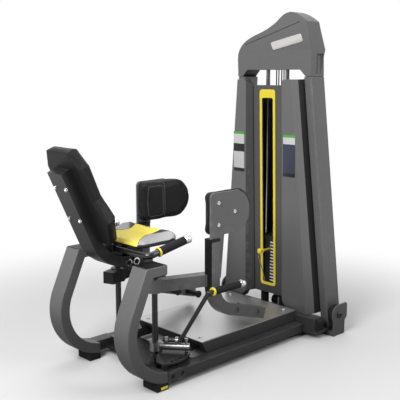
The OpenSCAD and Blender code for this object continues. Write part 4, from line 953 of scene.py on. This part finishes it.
pale, navy, green, inkAndFloorShade = (0.60, 0.61, 0.60), (0.050, 0.052, 0.085), (0.10, 0.36, 0.06), (0.022, 0.022, 0.024)
cards = {
    "left": [(0, green), (0.06, pale), (0.30, inkAndFloorShade), (0.50, pale), (0.92, inkAndFloorShade)],
    "right": [(0, green), (0.06, pale), (0.22, navy), (0.92, inkAndFloorShade)],
}
plate = {"apart": 0.15, "edge": 0.0007, "badgeOver": 1.2}
shape = mergedCopy("blank_plates")
middles = []
waiting = set(shape.verts)
while waiting:  # the loose plates of the node, one by one
    front, island = [waiting.pop()], set()
    while front:
        vert = front.pop()
        island.add(vert)
        for edge in vert.link_edges:
            other = edge.other_vert(vert)
            if other in waiting:
                waiting.remove(other)
                front.append(other)
    spans = [[v.co[axis] for v in island] for axis in (1, 2)]
    middles.append(Vector([(min(span) + max(span)) / 2 for span in spans]))
shape.free()
for middle in sorted(middles, key=lambda spot: spot.x):  # from right to left
    shape = mergedCopy("blank_plates")
    far = [v for v in shape.verts if (v.co.yz - middle).length > plate["apart"]]
    bmesh.ops.delete(shape, geom=far, context="VERTS")
    breakEdges(shape, plate["edge"], 40, 2)
    name, coat = "namePlate", "badgeSilver"
    if middle.y < plate["badgeOver"]:
        heights = [v.co.z for v in shape.verts]
        side = "left" if middle.x > 0 else "right"
        name = "placard." + side
        coat = [zonedCard(name, cards[side], max(heights), max(heights) - min(heights))]
    newPiece(name, shape, coat, "frame", ("blank_plates",))
print("plates done")

# world, floor and lamps

lamps = {"keySoftbox": ((-2.8, -0.7, 2.6), (0.1, 0.0, 0.6), 1.6, 132),  # place, aim, size, watts
         "topSoftbox": ((0.6, 0.8, 3.4), (0.1, 0.0, 0.4), 2.4, 34),
         "sideFill": ((1.0, -2.5, 2.1), (0.3, 0.0, 0.8), 1.6, 36)}
for name, (place, aim, size, watts) in lamps.items():
    light = bpy.data.lights.new(name, "AREA")
    light.energy = watts
    light.size = size
    holder = bpy.data.objects.new(name, light)
    scene.collection.objects.link(holder)
    aimed = (Vector(aim) - Vector(place)).to_track_quat("-Z", "Y")
    holder.matrix_world = Matrix.Translation(place) @ aimed.to_matrix().to_4x4()

# white to the camera, for the rest a white backdrop behind the machine and a dim room in front of it

room = {"backdrop": (0.62, 0.66, 0.42), "soft": (0.22, 0.06), "mirror": (0.92, 0.08)}
world = bpy.data.worlds.new("studio")
scene.world = world
world.use_nodes = True
tree = world.node_tree
ray = tree.nodes.new("ShaderNodeLightPath").outputs
seen = calc(tree, "MAXIMUM", ray["Is Camera Ray"], ray["Is Transmission Ray"])
facing = vectorStep(tree, "DOT_PRODUCT", tree.nodes.new("ShaderNodeTexCoord").outputs["Generated"])
facing.inputs[1].default_value = room["backdrop"]
dome = calc(tree, "MULTIPLY_ADD", facing.outputs["Value"], 0.5, 0.5, clamp=True)
soft = calc(tree, "MULTIPLY_ADD", dome, *room["soft"])
mirror = calc(tree, "MULTIPLY_ADD", dome, *room["mirror"])
dome = calc(tree, "MULTIPLY_ADD", calc(tree, "SUBTRACT", mirror, soft), ray["Is Glossy Ray"], soft)
strength = calc(tree, "MULTIPLY_ADD", calc(tree, "SUBTRACT", 1.0, dome), seen, dome)
sky = tree.nodes["Background"]
sky.inputs["Color"].default_value = (1, 1, 1, 1)
tree.links.new(strength, sky.inputs["Strength"])

floorLook = {"size": 14.0, "under": 0.0004, "rough": 0.6, "shown": 0.70, "bounce": 0.25, "from": 0.7, "to": 2.3}
shape = bmesh.new()
bmesh.ops.create_grid(shape, x_segments=1, y_segments=1, size=floorLook["size"] / 2,
                      matrix=Matrix.Translation((0, 0, -floorLook["under"])))
mesh = bpy.data.meshes.new("floor")
shape.to_mesh(mesh)
shape.free()
floor = bpy.data.objects.new("floor", mesh)
scene.collection.objects.link(floor)
ground, tree, shader = newLook("paleFloor")
shader.inputs["Roughness"].default_value = floorLook["rough"]
ray = tree.nodes.new("ShaderNodeLightPath").outputs
seen = calc(tree, "MAXIMUM", ray["Is Camera Ray"], ray["Is Glossy Ray"])
seen = calc(tree, "MAXIMUM", seen, ray["Is Transmission Ray"])
tone = blendColor(tree, ray["Is Camera Ray"], (floorLook["bounce"],) * 3, (floorLook["shown"],) * 3)
tree.links.new(tone, shader.inputs["Base Color"])
reach = vectorStep(tree, "LENGTH", objectPlace(tree)).outputs["Value"]
fade = calc(tree, "MULTIPLY", ramp(tree, reach, floorLook["from"], floorLook["to"]), seen)
glow = tree.nodes.new("ShaderNodeEmission")
both = tree.nodes.new("ShaderNodeMixShader")
for socket, part in zip(both.inputs, (fade, shader.outputs[0], glow.outputs[0])):
    tree.links.new(part, socket)
tree.links.new(both.outputs[0], tree.nodes["Material Output"].inputs["Surface"])
mesh.materials.append(ground)
print("studio done")
